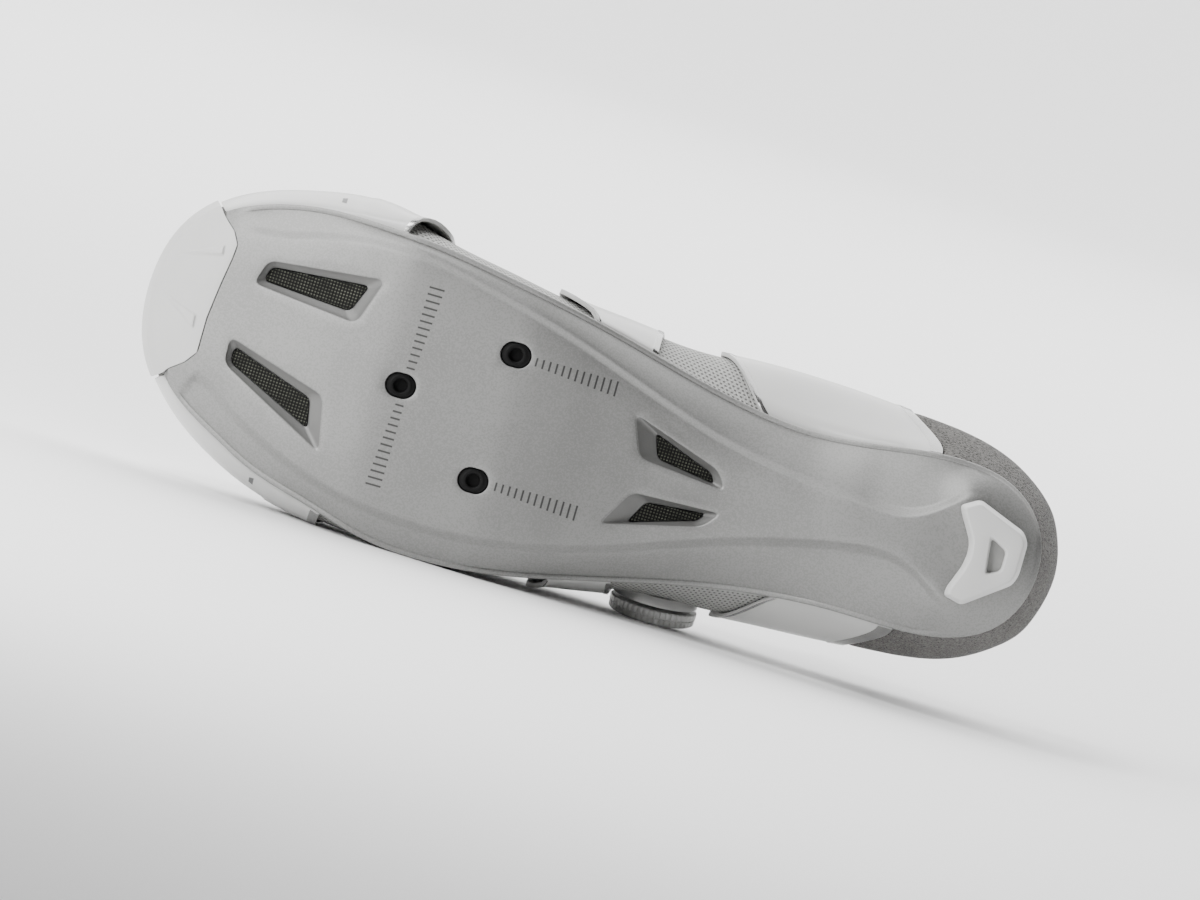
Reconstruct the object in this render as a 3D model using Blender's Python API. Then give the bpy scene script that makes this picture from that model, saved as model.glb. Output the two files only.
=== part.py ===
"""Cycling shoe, right foot, lying on its outer side.

It is modelled in the shoe's own frame: +X from heel to toe, +Y to the inner (big toe) side, +Z up from the
ground it would stand on. lay_on_side() then turns it onto the floor: the toe to -X, the sole to -Y.

Widths and heights in the tables are shares of the sizes named first. A row of the tables is one station,
counted from the heel's tip (0) to the toe's tip. A station number on the outer side counts on round the
toe, so a whole loop runs from 0 to LOOP.
"""

import math
from collections import namedtuple

import bmesh
import bpy
import numpy as np
from mathutils import Matrix, Vector
from mathutils.geometry import delaunay_2d_cdt

MM = 0.001

# Main sizes
LENGTH = 0.286
BALL_WIDTH = 0.100
INSTEP_HEIGHT = 0.080

# Walls and gaps
UPPER_WALL = 2.0 * MM
OVERLAY_WALL = 1.0 * MM
GAP = 0.3 * MM
OVERLAY_GAP = 0.45 * MM
PLATE_THICK = 4.6 * MM
RIM_THICK = 2.8 * MM
RIM_WIDTH = 1.4 * MM
RIM_STEP = 0.5 * MM
STEP_DEPTH = 2.2 * MM
STEP_WIDTH = 2.4 * MM
FEATHER_INSET = 1.3 * MM
INSOLE_THICK = 3.0 * MM
INSOLE_GAP = 0.85 * MM
INSOLE_GRID = (13 * MM, 3 * MM)
TONGUE_THICK = 4.0 * MM

# Sole plate, a row a station. at: along the length. edge_*: half widths of the plate. platform_*: the raised
# centre's edge. step_*: how much of the step down to the side band is there.
SolePlan = namedtuple(
    "SolePlan",
    "at edge_medial edge_lateral platform_at platform_medial platform_lateral step_medial step_lateral",
)
SOLE_PLAN = [
    SolePlan(0.0105, 0.000, 0.000, 0.022, 0.000, 0.000, 1.0, 1.0),
    SolePlan(0.0150, 0.086, 0.086, 0.024, 0.070, 0.055, 1.0, 1.0),
    SolePlan(0.0375, 0.186, 0.193, 0.036, 0.118, 0.095, 1.0, 1.0),
    SolePlan(0.0700, 0.243, 0.250, 0.068, 0.155, 0.150, 1.0, 1.0),
    SolePlan(0.1050, 0.263, 0.275, 0.102, 0.160, 0.155, 1.0, 1.0),
    SolePlan(0.1400, 0.264, 0.282, 0.136, 0.090, 0.096, 1.0, 1.0),
    SolePlan(0.2100, 0.239, 0.281, 0.210, 0.059, 0.079, 1.0, 1.0),
    SolePlan(0.2800, 0.223, 0.294, 0.280, 0.075, 0.121, 1.0, 1.0),
    SolePlan(0.3500, 0.244, 0.324, 0.350, 0.106, 0.179, 1.0, 1.0),
    SolePlan(0.4200, 0.287, 0.368, 0.420, 0.161, 0.250, 1.0, 1.0),
    SolePlan(0.4900, 0.337, 0.416, 0.490, 0.229, 0.314, 1.0, 1.0),
    SolePlan(0.5600, 0.381, 0.457, 0.560, 0.293, 0.357, 1.0, 1.0),
    SolePlan(0.6300, 0.417, 0.475, 0.630, 0.344, 0.375, 1.0, 1.0),
    SolePlan(0.7000, 0.448, 0.462, 0.700, 0.387, 0.367, 1.0, 1.0),
    SolePlan(0.7700, 0.463, 0.409, 0.768, 0.400, 0.330, 1.0, 1.0),
    SolePlan(0.8400, 0.461, 0.350, 0.835, 0.371, 0.255, 1.0, 1.0),
    SolePlan(0.8820, 0.438, 0.290, 0.874, 0.345, 0.195, 1.0, 1.0),
    SolePlan(0.9170, 0.402, 0.235, 0.906, 0.335, 0.135, 0.0, 1.0),
    SolePlan(0.9450, 0.350, 0.172, 0.930, 0.295, 0.115, 0.0, 0.0),
    SolePlan(0.9680, 0.255, 0.075, 0.950, 0.215, 0.045, 0.0, 0.0),
    SolePlan(0.9800, 0.090, -0.090, 0.960, 0.090, -0.090, 0.0, 0.0),
]

# The sole from the side. ground: the platform's height over the ground. feather: how far above that the
# upper starts.
SoleSide = namedtuple("SoleSide", "at ground feather")
SOLE_SIDE = [
    SoleSide(0.000, 0.100, 0.112),
    SoleSide(0.126, 0.100, 0.118),
    SoleSide(0.210, 0.131, 0.135),
    SoleSide(0.280, 0.170, 0.152),
    SoleSide(0.350, 0.190, 0.160),
    SoleSide(0.420, 0.173, 0.154),
    SoleSide(0.490, 0.115, 0.138),
    SoleSide(0.545, 0.055, 0.120),
    SoleSide(0.604, 0.020, 0.105),
    SoleSide(0.720, 0.020, 0.100),
    SoleSide(0.770, 0.048, 0.100),
    SoleSide(0.840, 0.112, 0.096),
    SoleSide(0.917, 0.202, 0.090),
    SoleSide(0.990, 0.318, 0.082),
]

# Upper, a row a station: bulge_*: its widest line. top_*: the edge of throat and collar. side_* and crown_*:
# two points between those, as shares of the way in and up.
UpperPlan = namedtuple(
    "UpperPlan",
    "bulge_at bulge_medial bulge_lateral bulge_up top_at top_medial top_lateral top_up "
    "side_in side_up crown_in crown_up",
)
UPPER_PLAN = [
    UpperPlan(-0.0030, 0.000, 0.000, 0.26, 0.024, 0.000, 0.000, 1.120, 0.05, 0.42, 0.42, 0.76),
    UpperPlan(0.0050, 0.112, 0.120, 0.26, 0.028, 0.070, 0.070, 1.115, 0.05, 0.42, 0.42, 0.76),
    UpperPlan(0.0270, 0.207, 0.217, 0.26, 0.042, 0.145, 0.145, 1.090, 0.06, 0.42, 0.42, 0.76),
    UpperPlan(0.0620, 0.275, 0.285, 0.25, 0.070, 0.210, 0.210, 1.035, 0.08, 0.42, 0.44, 0.76),
    UpperPlan(0.1000, 0.313, 0.322, 0.25, 0.103, 0.250, 0.252, 0.960, 0.10, 0.42, 0.46, 0.76),
    UpperPlan(0.1380, 0.330, 0.337, 0.24, 0.138, 0.275, 0.280, 0.900, 0.12, 0.42, 0.48, 0.76),
    UpperPlan(0.2100, 0.348, 0.356, 0.22, 0.200, 0.290, 0.295, 0.860, 0.12, 0.42, 0.50, 0.76),
    UpperPlan(0.2800, 0.357, 0.368, 0.21, 0.264, 0.276, 0.282, 0.895, 0.12, 0.42, 0.50, 0.77),
    UpperPlan(0.3500, 0.360, 0.382, 0.20, 0.324, 0.232, 0.240, 0.975, 0.12, 0.44, 0.48, 0.79),
    UpperPlan(0.4200, 0.358, 0.395, 0.19, 0.380, 0.180, 0.195, 1.030, 0.12, 0.46, 0.46, 0.81),
    UpperPlan(0.4900, 0.378, 0.428, 0.18, 0.445, 0.152, 0.165, 1.015, 0.12, 0.46, 0.45, 0.82),
    UpperPlan(0.5600, 0.398, 0.450, 0.17, 0.511, 0.138, 0.140, 0.965, 0.12, 0.46, 0.45, 0.83),
    UpperPlan(0.6300, 0.433, 0.466, 0.16, 0.570, 0.130, 0.118, 0.910, 0.12, 0.46, 0.45, 0.84),
    UpperPlan(0.7000, 0.470, 0.458, 0.16, 0.619, 0.128, 0.095, 0.862, 0.12, 0.46, 0.45, 0.84),
    UpperPlan(0.7700, 0.516, 0.438, 0.16, 0.648, 0.122, 0.074, 0.832, 0.12, 0.46, 0.45, 0.84),
    UpperPlan(0.8400, 0.500, 0.388, 0.16, 0.666, 0.110, 0.055, 0.815, 0.12, 0.47, 0.45, 0.83),
    UpperPlan(0.8840, 0.468, 0.330, 0.15, 0.676, 0.095, 0.037, 0.806, 0.12, 0.48, 0.45, 0.82),
    UpperPlan(0.9210, 0.424, 0.262, 0.15, 0.683, 0.077, 0.019, 0.801, 0.12, 0.50, 0.45, 0.81),
    UpperPlan(0.9500, 0.364, 0.185, 0.14, 0.688, 0.060, 0.002, 0.798, 0.12, 0.52, 0.45, 0.80),
    UpperPlan(0.9740, 0.268, 0.085, 0.13, 0.691, 0.045, -0.014, 0.796, 0.12, 0.54, 0.45, 0.80),
    UpperPlan(0.9860, 0.090, -0.090, 0.12, 0.692, 0.030, -0.030, 0.795, 0.12, 0.55, 0.45, 0.80),
]
LEVELS = (0.0, 0.22, 0.47, 0.74, 1.0)
STATIONS = len(SOLE_PLAN) - 1
LOOP = 2 * STATIONS

# Vents through the plate, a row each: four corners at the surface, then four at the mesh, as (along, across).
Vent = namedtuple("Vent", "name toe_medial heel_medial heel_lateral toe_lateral")
VENTS = [
    (
        Vent("front_medial", (0.877, 0.266), (0.752, 0.305), (0.770, 0.153), (0.886, 0.187)),
        Vent("front_medial", (0.872, 0.250), (0.767, 0.274), (0.780, 0.184), (0.877, 0.203)),
    ),
    (
        Vent("front_lateral", (0.894, 0.014), (0.782, -0.081), (0.770, -0.250), (0.893, -0.068)),
        Vent("front_lateral", (0.887, -0.010), (0.795, -0.099), (0.789, -0.190), (0.887, -0.061)),
    ),
    (
        Vent("rear_medial", (0.464, 0.128), (0.362, 0.031), (0.350, -0.024), (0.447, 0.002)),
        Vent("rear_medial", (0.437, 0.089), (0.369, 0.018), (0.363, -0.013), (0.428, 0.014)),
    ),
    (
        Vent("rear_lateral", (0.445, -0.103), (0.347, -0.092), (0.363, -0.146), (0.469, -0.222)),
        Vent("rear_lateral", (0.427, -0.120), (0.363, -0.104), (0.369, -0.132), (0.441, -0.196)),
    ),
]
VENT_CORNER = 1.6 * MM
VENT_FILLET = 0.5 * MM
MESH_THICK = 0.6 * MM
MESH_DEPTH = 2.9 * MM

# Bolt slots of the three-bolt cleat pattern: the slot is long along the shoe, the insert's hole is round.
Slot = namedtuple("Slot", "name at across")
SLOTS = [
    Slot("front", 0.7073, 0.013),
    Slot("medial", 0.6000, 0.196),
    Slot("lateral", 0.6070, -0.201),
]
SLOT_LONG = 9.4 * MM
SLOT_WIDE = 7.6 * MM
BOLT_HOLE = 4.3 * MM
INSERT_RECESS = 0.7 * MM
INSERT_THICK = 2.6 * MM

# Toe bumper: where it starts on the sole, from its outer corner to its inner corner, and how high it wraps.
BumperLine = namedtuple("BumperLine", "at across")
BUMPER_LINE = [
    BumperLine(0.950, -0.132),
    BumperLine(0.934, -0.098),
    BumperLine(0.924, -0.060),
    BumperLine(0.924, 0.050),
    BumperLine(0.920, 0.150),
    BumperLine(0.915, 0.245),
    BumperLine(0.914, 0.285),
    BumperLine(0.921, 0.322),
    BumperLine(0.934, 0.355),
]
BUMPER_THICK = 2.0 * MM
BUMPER_COLUMNS = 19
BUMPER_FROM = 17.72
BUMPER_TO = LOOP - 18.3
BUMPER_TOP = 0.40
BUMPER_TOP_ENDS = 0.27
BUMPER_WALL_FROM = 0.17
BUMPER_LEAN = 0.22

# Heel pad, a row a corner, medial side first, and its window
PadCorner = namedtuple("PadCorner", "at across")
PAD = [
    PadCorner(0.1090, 0.132),
    PadCorner(0.0900, 0.164),
    PadCorner(0.0375, 0.106),
    PadCorner(0.0300, 0.075),
    PadCorner(0.0300, -0.025),
    PadCorner(0.0340, -0.058),
    PadCorner(0.0800, -0.157),
    PadCorner(0.1000, -0.143),
    PadCorner(0.1000, -0.118),
    PadCorner(0.0900, -0.043),
    PadCorner(0.0880, 0.000),
    PadCorner(0.0900, 0.036),
    PadCorner(0.1050, 0.107),
]
PAD_WINDOW = [
    PadCorner(0.0700, 0.068),
    PadCorner(0.0490, 0.036),
    PadCorner(0.0490, -0.029),
    PadCorner(0.0650, -0.050),
]
PAD_HEIGHT = 7.4 * MM
PAD_TAPER = 1.3 * MM
PAD_WINDOW_DEPTH = 1.6 * MM

# Overlays: the span of stations each covers and the share of the way up from the feather.
TOE_PANEL_FROM = 13.62
TOE_PANEL_TO = LOOP - 13.75
TOE_PANEL_TOP = 0.90
TOE_PANEL_LIFT = 2.2 * MM
TOE_PANEL_RAMP = 0.4
PANEL_LOW = 0.045
FLAT_BELOW = 0.5
STRAP_MEDIAL = (9.55, 11.22)
STRAP_LATERAL = (9.28, 10.50)
STRAP_LIFT = 1.2 * MM
QUARTER_HIGH = 0.93
QUARTER_MEDIAL_REAR = 5.32
QUARTER_LATERAL_REAR = 5.42
COUNTER_MEDIAL = 5.05
COUNTER_LATERAL = 5.15
COUNTER_HIGH = 0.955

# Lace dial on the outer side of the waist
DIAL_STATION = LOOP - 8.58
DIAL_LEVEL = 0.37
DIAL_RADIUS = 13.5 * MM
DIAL_HEIGHT = 4.7 * MM
DIAL_BASE_RADIUS = 13.2 * MM
DIAL_BASE_HEIGHT = 1.4 * MM
DIAL_SEAT = 0.5 * MM
DIAL_KNURLS = 24
DIAL_KNURL_DEPTH = 0.45 * MM

# Look in the viewport and weight of what each piece is made of, in kg per cubic metre
Finish = namedtuple("Finish", "colour roughness metallic density")
FINISHES = {
    "sole": Finish((0.55, 0.55, 0.54), 0.45, 0.0, 1100),
    "bumper": Finish((0.75, 0.75, 0.74), 0.5, 0.0, 1200),
    "insert": Finish((0.02, 0.02, 0.02), 0.4, 0.0, 1100),
    "mesh": Finish((0.05, 0.055, 0.05), 0.8, 0.0, 300),
    "insole": Finish((0.08, 0.08, 0.08), 0.9, 0.0, 300),
    "upper": Finish((0.70, 0.70, 0.68), 0.7, 0.0, 900),
    "tongue": Finish((0.66, 0.66, 0.64), 0.8, 0.0, 300),
    "panel": Finish((0.80, 0.80, 0.78), 0.35, 0.0, 900),
    "counter": Finish((0.26, 0.25, 0.24), 0.9, 0.0, 300),
    "dial": Finish((0.5, 0.5, 0.5), 0.3, 0.0, 1100),
}


def pchip(rows, column):
    """Smooth function of the length through a table's column, flat where two rows agree."""
    xs = np.array([row.at for row in rows]) * LENGTH
    ys = np.array([getattr(row, column) for row in rows]) * INSTEP_HEIGHT
    step = np.diff(xs)
    slope = np.diff(ys) / step
    inner = np.zeros(len(xs))
    for i in range(1, len(xs) - 1):
        if slope[i - 1] * slope[i] > 0:
            first = 2 * step[i] + step[i - 1]
            second = step[i] + 2 * step[i - 1]
            inner[i] = (first + second) / (first / slope[i - 1] + second / slope[i])
    inner[0] = slope[0]
    inner[-1] = slope[-1]

    def value(x):
        x = np.asarray(x, float)
        i = np.clip(np.searchsorted(xs, x) - 1, 0, len(step) - 1)
        s = np.clip((x - xs[i]) / step[i], 0.0, 1.0)
        rise = s * s * (3 - 2 * s)
        start = s * (1 - s) ** 2
        end = s * s * (s - 1)
        return ys[i] + (ys[i + 1] - ys[i]) * rise + step[i] * (start * inner[i] + end * inner[i + 1])

    return value


GROUND = pchip(SOLE_SIDE, "ground")
FEATHER = pchip(SOLE_SIDE, "feather")


def closed_spline(points, guide):
    """Periodic cubic through a point a station. Its argument is the station number."""
    count = len(points)
    knots = np.linalg.norm(np.roll(guide, -1, axis=0) - guide, axis=1)
    system = np.zeros((count, count))
    right = np.zeros(points.shape)
    for i in range(count):
        before = knots[i - 1]
        after = knots[i]
        system[i, (i - 1) % count] += before
        system[i, i] += 2 * (before + after)
        system[i, (i + 1) % count] += after
        right[i] = (points[(i + 1) % count] - points[i]) / after - (points[i] - points[i - 1]) / before
    bend = np.linalg.solve(system, 6 * right)

    def value(station):
        station = np.mod(np.asarray(station, float), count)
        i = np.minimum(np.floor(station).astype(int), count - 1)
        j = (i + 1) % count
        h = knots[i][..., None]
        b = (station - i)[..., None]
        a = 1 - b
        curve = ((a**3 - a) * bend[i] + (b**3 - b) * bend[j]) * h * h / 6
        return a * points[i] + b * points[j] + curve

    return value


def loop_points(rows, at, medial, lateral):
    """The stations' plan points: the inner side from heel to toe, then the outer side back."""
    inner = [(getattr(r, at) * LENGTH, getattr(r, medial) * BALL_WIDTH) for r in rows]
    outer = [(getattr(r, at) * LENGTH, -getattr(r, lateral) * BALL_WIDTH) for r in rows[1:-1]]
    return np.array(inner + outer[::-1])


def mirrored(rows, column):
    """A column's values round the whole loop."""
    values = [getattr(r, column) for r in rows]
    return np.array(values + values[1:-1][::-1])


EDGE_POINTS = loop_points(SOLE_PLAN, "at", "edge_medial", "edge_lateral")
EDGE = closed_spline(EDGE_POINTS, EDGE_POINTS)
PLATFORM_POINTS = loop_points(SOLE_PLAN, "platform_at", "platform_medial", "platform_lateral")
PLATFORM = closed_spline(PLATFORM_POINTS, EDGE_POINTS)
EDGE_RING = EDGE(np.arange(0, LOOP, 0.1))


def outward(loop, station):
    """Unit normal of a plan loop, pointing out of it."""
    ahead = loop(np.asarray(station) + 0.01) - loop(np.asarray(station) - 0.01)
    normal = np.stack([-ahead[..., 1], ahead[..., 0]], axis=-1)
    return normal / np.linalg.norm(normal, axis=-1, keepdims=True)


def step_share(station):
    """How much of the step between platform and side band is there."""
    medial = [row.step_medial for row in SOLE_PLAN]
    lateral = [row.step_lateral for row in SOLE_PLAN]
    loop = np.array(medial + lateral[1:-1][::-1] + [medial[0]])
    return np.interp(np.mod(station, LOOP), np.arange(LOOP + 1), loop)


def edge_distance(xy):
    """Distance in plan from each point to the plate's edge."""
    start = EDGE_RING
    end = np.roll(EDGE_RING, -1, axis=0)
    along = end - start
    rel = xy[:, None, :] - start[None]
    share = np.clip((rel * along).sum(-1) / (along**2).sum(-1), 0, 1)
    return np.linalg.norm(rel - share[..., None] * along, axis=-1).min(axis=1)


TOE_ROLL = 13 * MM
CROWN_FROM = 0.6
CROWN_LIFT = 0.9 * MM


def half_widths(loop):
    """Plan loop as inner and outer half widths against the length."""
    stations = np.arange(0, LOOP, 0.05)
    points = loop(stations)
    inner = points[: len(points) // 2 + 1]
    outer = points[len(points) // 2 :]
    return inner, outer[::-1]


PLATFORM_INNER, PLATFORM_OUTER = half_widths(PLATFORM)
EDGE_INNER, EDGE_OUTER = half_widths(EDGE)


def across_share(xy, inner, outer):
    """0 on the centre line between two sides and 1 on either of them."""
    x, y = xy[:, 0], xy[:, 1]
    high = np.interp(x, inner[:, 0], inner[:, 1])
    low = np.interp(x, outer[:, 0], outer[:, 1])
    middle = (high + low) / 2
    half = np.maximum((high - low) / 2, MM)
    return np.clip(np.abs(y - middle) / half, 0, 1)


def platform_height(xy):
    """Underside of the raised platform: flat round the bolts, a little crowned towards its sides."""
    share = across_share(xy, PLATFORM_INNER, PLATFORM_OUTER)
    crown = np.maximum(0, (share - CROWN_FROM) / (1 - CROWN_FROM)) ** 2
    fade = np.interp(xy[:, 0], [0.14 * LENGTH, 0.2 * LENGTH], [0, 1])
    return GROUND(xy[:, 0]) + CROWN_LIFT * crown * fade


def rolled_height(xy):
    """Underside where there is no step: it rolls up to the plate's edge."""
    roll = np.maximum(0, 1 - edge_distance(xy) / TOE_ROLL) ** 2
    return GROUND(xy[:, 0]) + (FEATHER(xy[:, 0]) - RIM_THICK) * roll


def top_height(xy):
    """Upper face of the plate, a shallow cup."""
    share = across_share(xy, EDGE_INNER, EDGE_OUTER)
    ends = np.maximum(0, 1 - edge_distance(xy) / TOE_ROLL)
    cup = np.maximum(share**2.4, ends**2)
    return GROUND(xy[:, 0]) + PLATE_THICK + (FEATHER(xy[:, 0]) - PLATE_THICK) * cup


def edge_top(xy):
    return GROUND(xy[:, 0]) + FEATHER(xy[:, 0])


class Shell:
    """Vertices and faces of one closed mesh."""

    def __init__(self):
        self.points = []
        self.faces = []

    def add(self, points):
        """Adds points and returns their numbers."""
        first = len(self.points)
        self.points.extend([tuple(float(c) for c in p) for p in points])
        return list(range(first, len(self.points)))

    def strip(self, low, high, closed=True):
        """Quads between two rows of as many points."""
        count = len(low)
        for i in range(count if closed else count - 1):
            j = (i + 1) % count
            self.faces.append((low[i], low[j], high[j], high[i]))

    def fill(self, outer, holes, inner_points, height, creases=()):
        """Triangles over a plan area bounded by loops of points already there.

        creases are loops of such points that the triangles' sides follow.
        """
        loops = [outer] + holes + list(creases)
        flat = [self.points[i][:2] for loop in loops for i in loop]
        edges = []
        first = 0
        for loop in loops:
            edges += [(first + i, first + (i + 1) % len(loop)) for i in range(len(loop))]
            first += len(loop)
        numbers = [i for loop in loops for i in loop]
        xy = np.array(inner_points).reshape(-1, 2)
        if len(xy):
            numbers += self.add(np.column_stack([xy, height(xy)]))
        spread = [Vector(p) / MM for p in flat + [tuple(p) for p in xy]]
        found = delaunay_2d_cdt(spread, edges, [], 0, 1e-6)
        made, triangles, back = found[0], found[2], found[3]
        plan = [np.array([self.points[i][:2] for i in loop]) for loop in [outer] + holes]
        for face in triangles:
            middle = np.mean([made[i] for i in face], axis=0) * MM
            if not inside(plan[0], middle) or any(inside(hole, middle) for hole in plan[1:]):
                continue
            self.faces.append(tuple(numbers[back[i][0]] for i in face))

    def object(self, name, finish):
        """The mesh as a smooth-shaded object with outward faces."""
        mesh = bpy.data.meshes.new(name)
        work = bmesh.new()
        verts = [work.verts.new(p) for p in self.points]
        for face in self.faces:
            if len(set(face)) > 2:
                work.faces.new([verts[i] for i in face])
        loose = [v for v in work.verts if not v.link_faces]
        bmesh.ops.delete(work, geom=loose, context="VERTS")
        bmesh.ops.triangulate(work, faces=work.faces[:])
        bmesh.ops.recalc_face_normals(work, faces=work.faces[:])
        if work.calc_volume(signed=True) < 0:
            bmesh.ops.reverse_faces(work, faces=work.faces[:])
        work.to_mesh(mesh)
        work.free()
        return finished(bpy.data.objects.new(name, mesh), finish)


def finished(obj, finish):
    """Links an object, shades it and gives it a material of its own."""
    if obj.name not in bpy.context.scene.collection.objects:
        bpy.context.scene.collection.objects.link(obj)
    look = FINISHES[finish]
    material = bpy.data.materials.new(obj.name)
    material.use_nodes = True
    shader = material.node_tree.nodes["Principled BSDF"]
    shader.inputs["Base Color"].default_value = (*look.colour, 1)
    shader.inputs["Roughness"].default_value = look.roughness
    shader.inputs["Metallic"].default_value = look.metallic
    obj.data.materials.append(material)
    obj.data.polygons.foreach_set("use_smooth", [True] * len(obj.data.polygons))
    obj.data.set_sharp_from_angle(angle=math.radians(35))
    obj["density"] = look.density
    return obj


def inside(loop, point):
    """Whether a plan point lies in a loop."""
    x, y = point[0], point[1]
    a = loop
    b = np.roll(loop, -1, axis=0)
    crosses = (a[:, 1] > y) != (b[:, 1] > y)
    with np.errstate(divide="ignore", invalid="ignore"):
        at = a[:, 0] + (y - a[:, 1]) * (b[:, 0] - a[:, 0]) / (b[:, 1] - a[:, 1])
    return bool(np.count_nonzero(crosses & (x < at)) % 2)


def clear_of(loop, point, distance):
    """Whether a plan point keeps a distance from a loop's sides."""
    a = loop
    along = np.roll(loop, -1, axis=0) - a
    share = np.clip(((point - a) * along).sum(1) / (along**2).sum(1), 0, 1)
    return np.linalg.norm(point - a - share[:, None] * along, axis=1).min() > distance


def plan_grid(outer, holes, spacing, margin):
    """Points on a grid inside a loop, clear of its sides and of the holes."""
    low = outer.min(axis=0)
    high = outer.max(axis=0)
    points = []
    for i, x in enumerate(np.arange(low[0] + margin, high[0], spacing)):
        shift = spacing / 2 if i % 2 else 0
        for y in np.arange(math.floor(low[1] / spacing) * spacing + shift, high[1], spacing):
            point = np.array([x, y])
            if not inside(outer, point) or not clear_of(outer, point, margin):
                continue
            if any(inside(h, point) or not clear_of(h, point, margin) for h in holes):
                continue
            points.append(point)
    return points


def rounded(corners, radius, parts):
    """A plan loop with each corner rounded off."""
    corners = np.asarray(corners, float)
    loop = []
    for i, corner in enumerate(corners):
        before = corners[i - 1] - corner
        after = corners[(i + 1) % len(corners)] - corner
        reach = min(radius, np.linalg.norm(before) * 0.45, np.linalg.norm(after) * 0.45)
        start = corner + before / np.linalg.norm(before) * reach
        end = corner + after / np.linalg.norm(after) * reach
        for s in np.linspace(0, 1, parts + 1):
            loop.append((1 - s) ** 2 * start + 2 * s * (1 - s) * corner + s * s * end)
    return np.array(loop)


def grown(corners, by):
    """A plan polygon with each side moved out by a distance, or in where it is negative."""
    corners = np.asarray(corners, float)
    ahead = np.roll(corners, -1, axis=0)
    area = (corners[:, 0] * ahead[:, 1] - corners[:, 1] * ahead[:, 0]).sum()
    along = ahead - corners
    along /= np.linalg.norm(along, axis=1, keepdims=True)
    normal = np.stack([along[:, 1], -along[:, 0]], axis=1) * np.sign(area)
    moved = []
    for i in range(len(corners)):
        first = normal[i - 1]
        second = normal[i]
        mitre = first + second
        moved.append(corners[i] + mitre * by / max(mitre.dot(first), 0.3))
    return np.array(moved)


def slab(name, finish, loop, holes, under, over, spacing, margin=2.5 * MM):
    """A closed piece between two heights over a plan loop, with holes through it."""
    shell = Shell()
    inner = plan_grid(loop, holes, spacing, margin) if spacing else []
    rows = []
    for height in (under, over):
        rings = [shell.add(np.column_stack([r, height(r)])) for r in [loop] + holes]
        shell.fill(rings[0], rings[1:], inner, height)
        rows.append(rings)
    for low, high in zip(*rows):
        shell.strip(low, high)
    return shell.object(name, finish)


def corners_of(row):
    """A vent's four corners in metres."""
    return [(at * LENGTH, across * BALL_WIDTH) for at, across in row[1:]]


def slot_loop(slot, long, wide, count=12):
    """Plan loop of a slot with round ends."""
    centre = np.array([slot.at * LENGTH, slot.across * BALL_WIDTH])
    loop = []
    for i in range(count):
        turn = 2 * math.pi * (i + 0.5) / count
        side = 1 if math.cos(turn) > 0 else -1
        x = math.cos(turn) * wide / 2 + side * (long - wide) / 2
        loop.append(centre + (x, math.sin(turn) * wide / 2))
    return np.array(loop)


def build_sole_plate(upper):
    """The plate: rings from rim to platform, a triangulated platform with vents and slots, a cupped top."""
    stations = np.arange(0, LOOP, 0.4)
    edge = EDGE(stations)
    platform = PLATFORM(stations)
    toward = platform - edge
    band = np.linalg.norm(toward, axis=1, keepdims=True)
    toward /= band
    step = step_share(stations)[:, None]
    foot = platform - toward * STEP_WIDTH
    shell = Shell()

    def ring(xy, stepped):
        z = stepped[:, None] * step + rolled_height(xy)[:, None] * (1 - step)
        return shell.add(np.column_stack([xy, z]))

    rim_up = edge_top(edge) - RIM_THICK
    foot_up = platform_height(platform) + STEP_DEPTH
    rim_in = edge + toward * RIM_WIDTH
    groove = edge + toward * (RIM_WIDTH + RIM_STEP)
    middle = (groove + foot) / 2
    rows = [
        ring(edge, rim_up),
        ring(rim_in, rim_up),
        ring(groove, rim_up + RIM_STEP),
        ring(middle, (rim_up + RIM_STEP) * 0.42 + foot_up * 0.58),
        ring(foot, foot_up),
        ring(platform, platform_height(platform) + 0.25 * MM),
        ring(platform + toward * 1.2 * MM, platform_height(platform + toward * 1.2 * MM)),
    ]
    for low, high in zip(rows, rows[1:]):
        shell.strip(low, high)
    top = shell.add(np.column_stack([edge, edge_top(edge)]))
    shell.strip(rows[0], top)

    under_holes = []
    over_holes = []
    for surface, mesh in VENTS:
        outer = rounded(corners_of(surface), VENT_CORNER, 3)
        lip = outer + (rounded(corners_of(mesh), VENT_CORNER, 3) - outer) * 0.16
        inner = rounded(corners_of(mesh), VENT_CORNER * 0.8, 3)
        depth = MESH_DEPTH - MESH_THICK / 2
        loops = [
            shell.add(np.column_stack([outer, platform_height(outer)])),
            shell.add(np.column_stack([lip, platform_height(lip) + VENT_FILLET])),
            shell.add(np.column_stack([inner, platform_height(inner) + depth])),
            shell.add(np.column_stack([inner, top_height(inner)])),
        ]
        for low, high in zip(loops, loops[1:]):
            shell.strip(low, high)
        under_holes.append(loops[0])
        over_holes.append(loops[-1])
    for slot in SLOTS:
        hole = slot_loop(slot, SLOT_LONG, SLOT_WIDE)
        low = shell.add(np.column_stack([hole, platform_height(hole)]))
        high = shell.add(np.column_stack([hole, top_height(hole)]))
        shell.strip(low, high)
        under_holes.append(low)
        over_holes.append(high)

    plan = lambda ring: np.array([shell.points[i][:2] for i in ring])
    inner = plan_grid(plan(rows[-1]), [plan(h) for h in under_holes], 9 * MM, 2.6 * MM)
    shell.fill(rows[-1], under_holes, inner, platform_height)
    inner = plan_grid(edge, [plan(h) for h in over_holes], INSOLE_GRID[0], 2 * MM)
    rim = insole_loop()
    inner = [p for p in inner if inside(rim, p) and clear_of(rim, p, INSOLE_GRID[1])]
    crease = shell.add(np.column_stack([rim, top_height(rim)]))
    shell.fill(top, over_holes, inner, top_height, [crease])
    plate = shell.object("sole_plate", "sole")
    cut(plate, build_bumper_recess(upper))
    return plate


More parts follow.
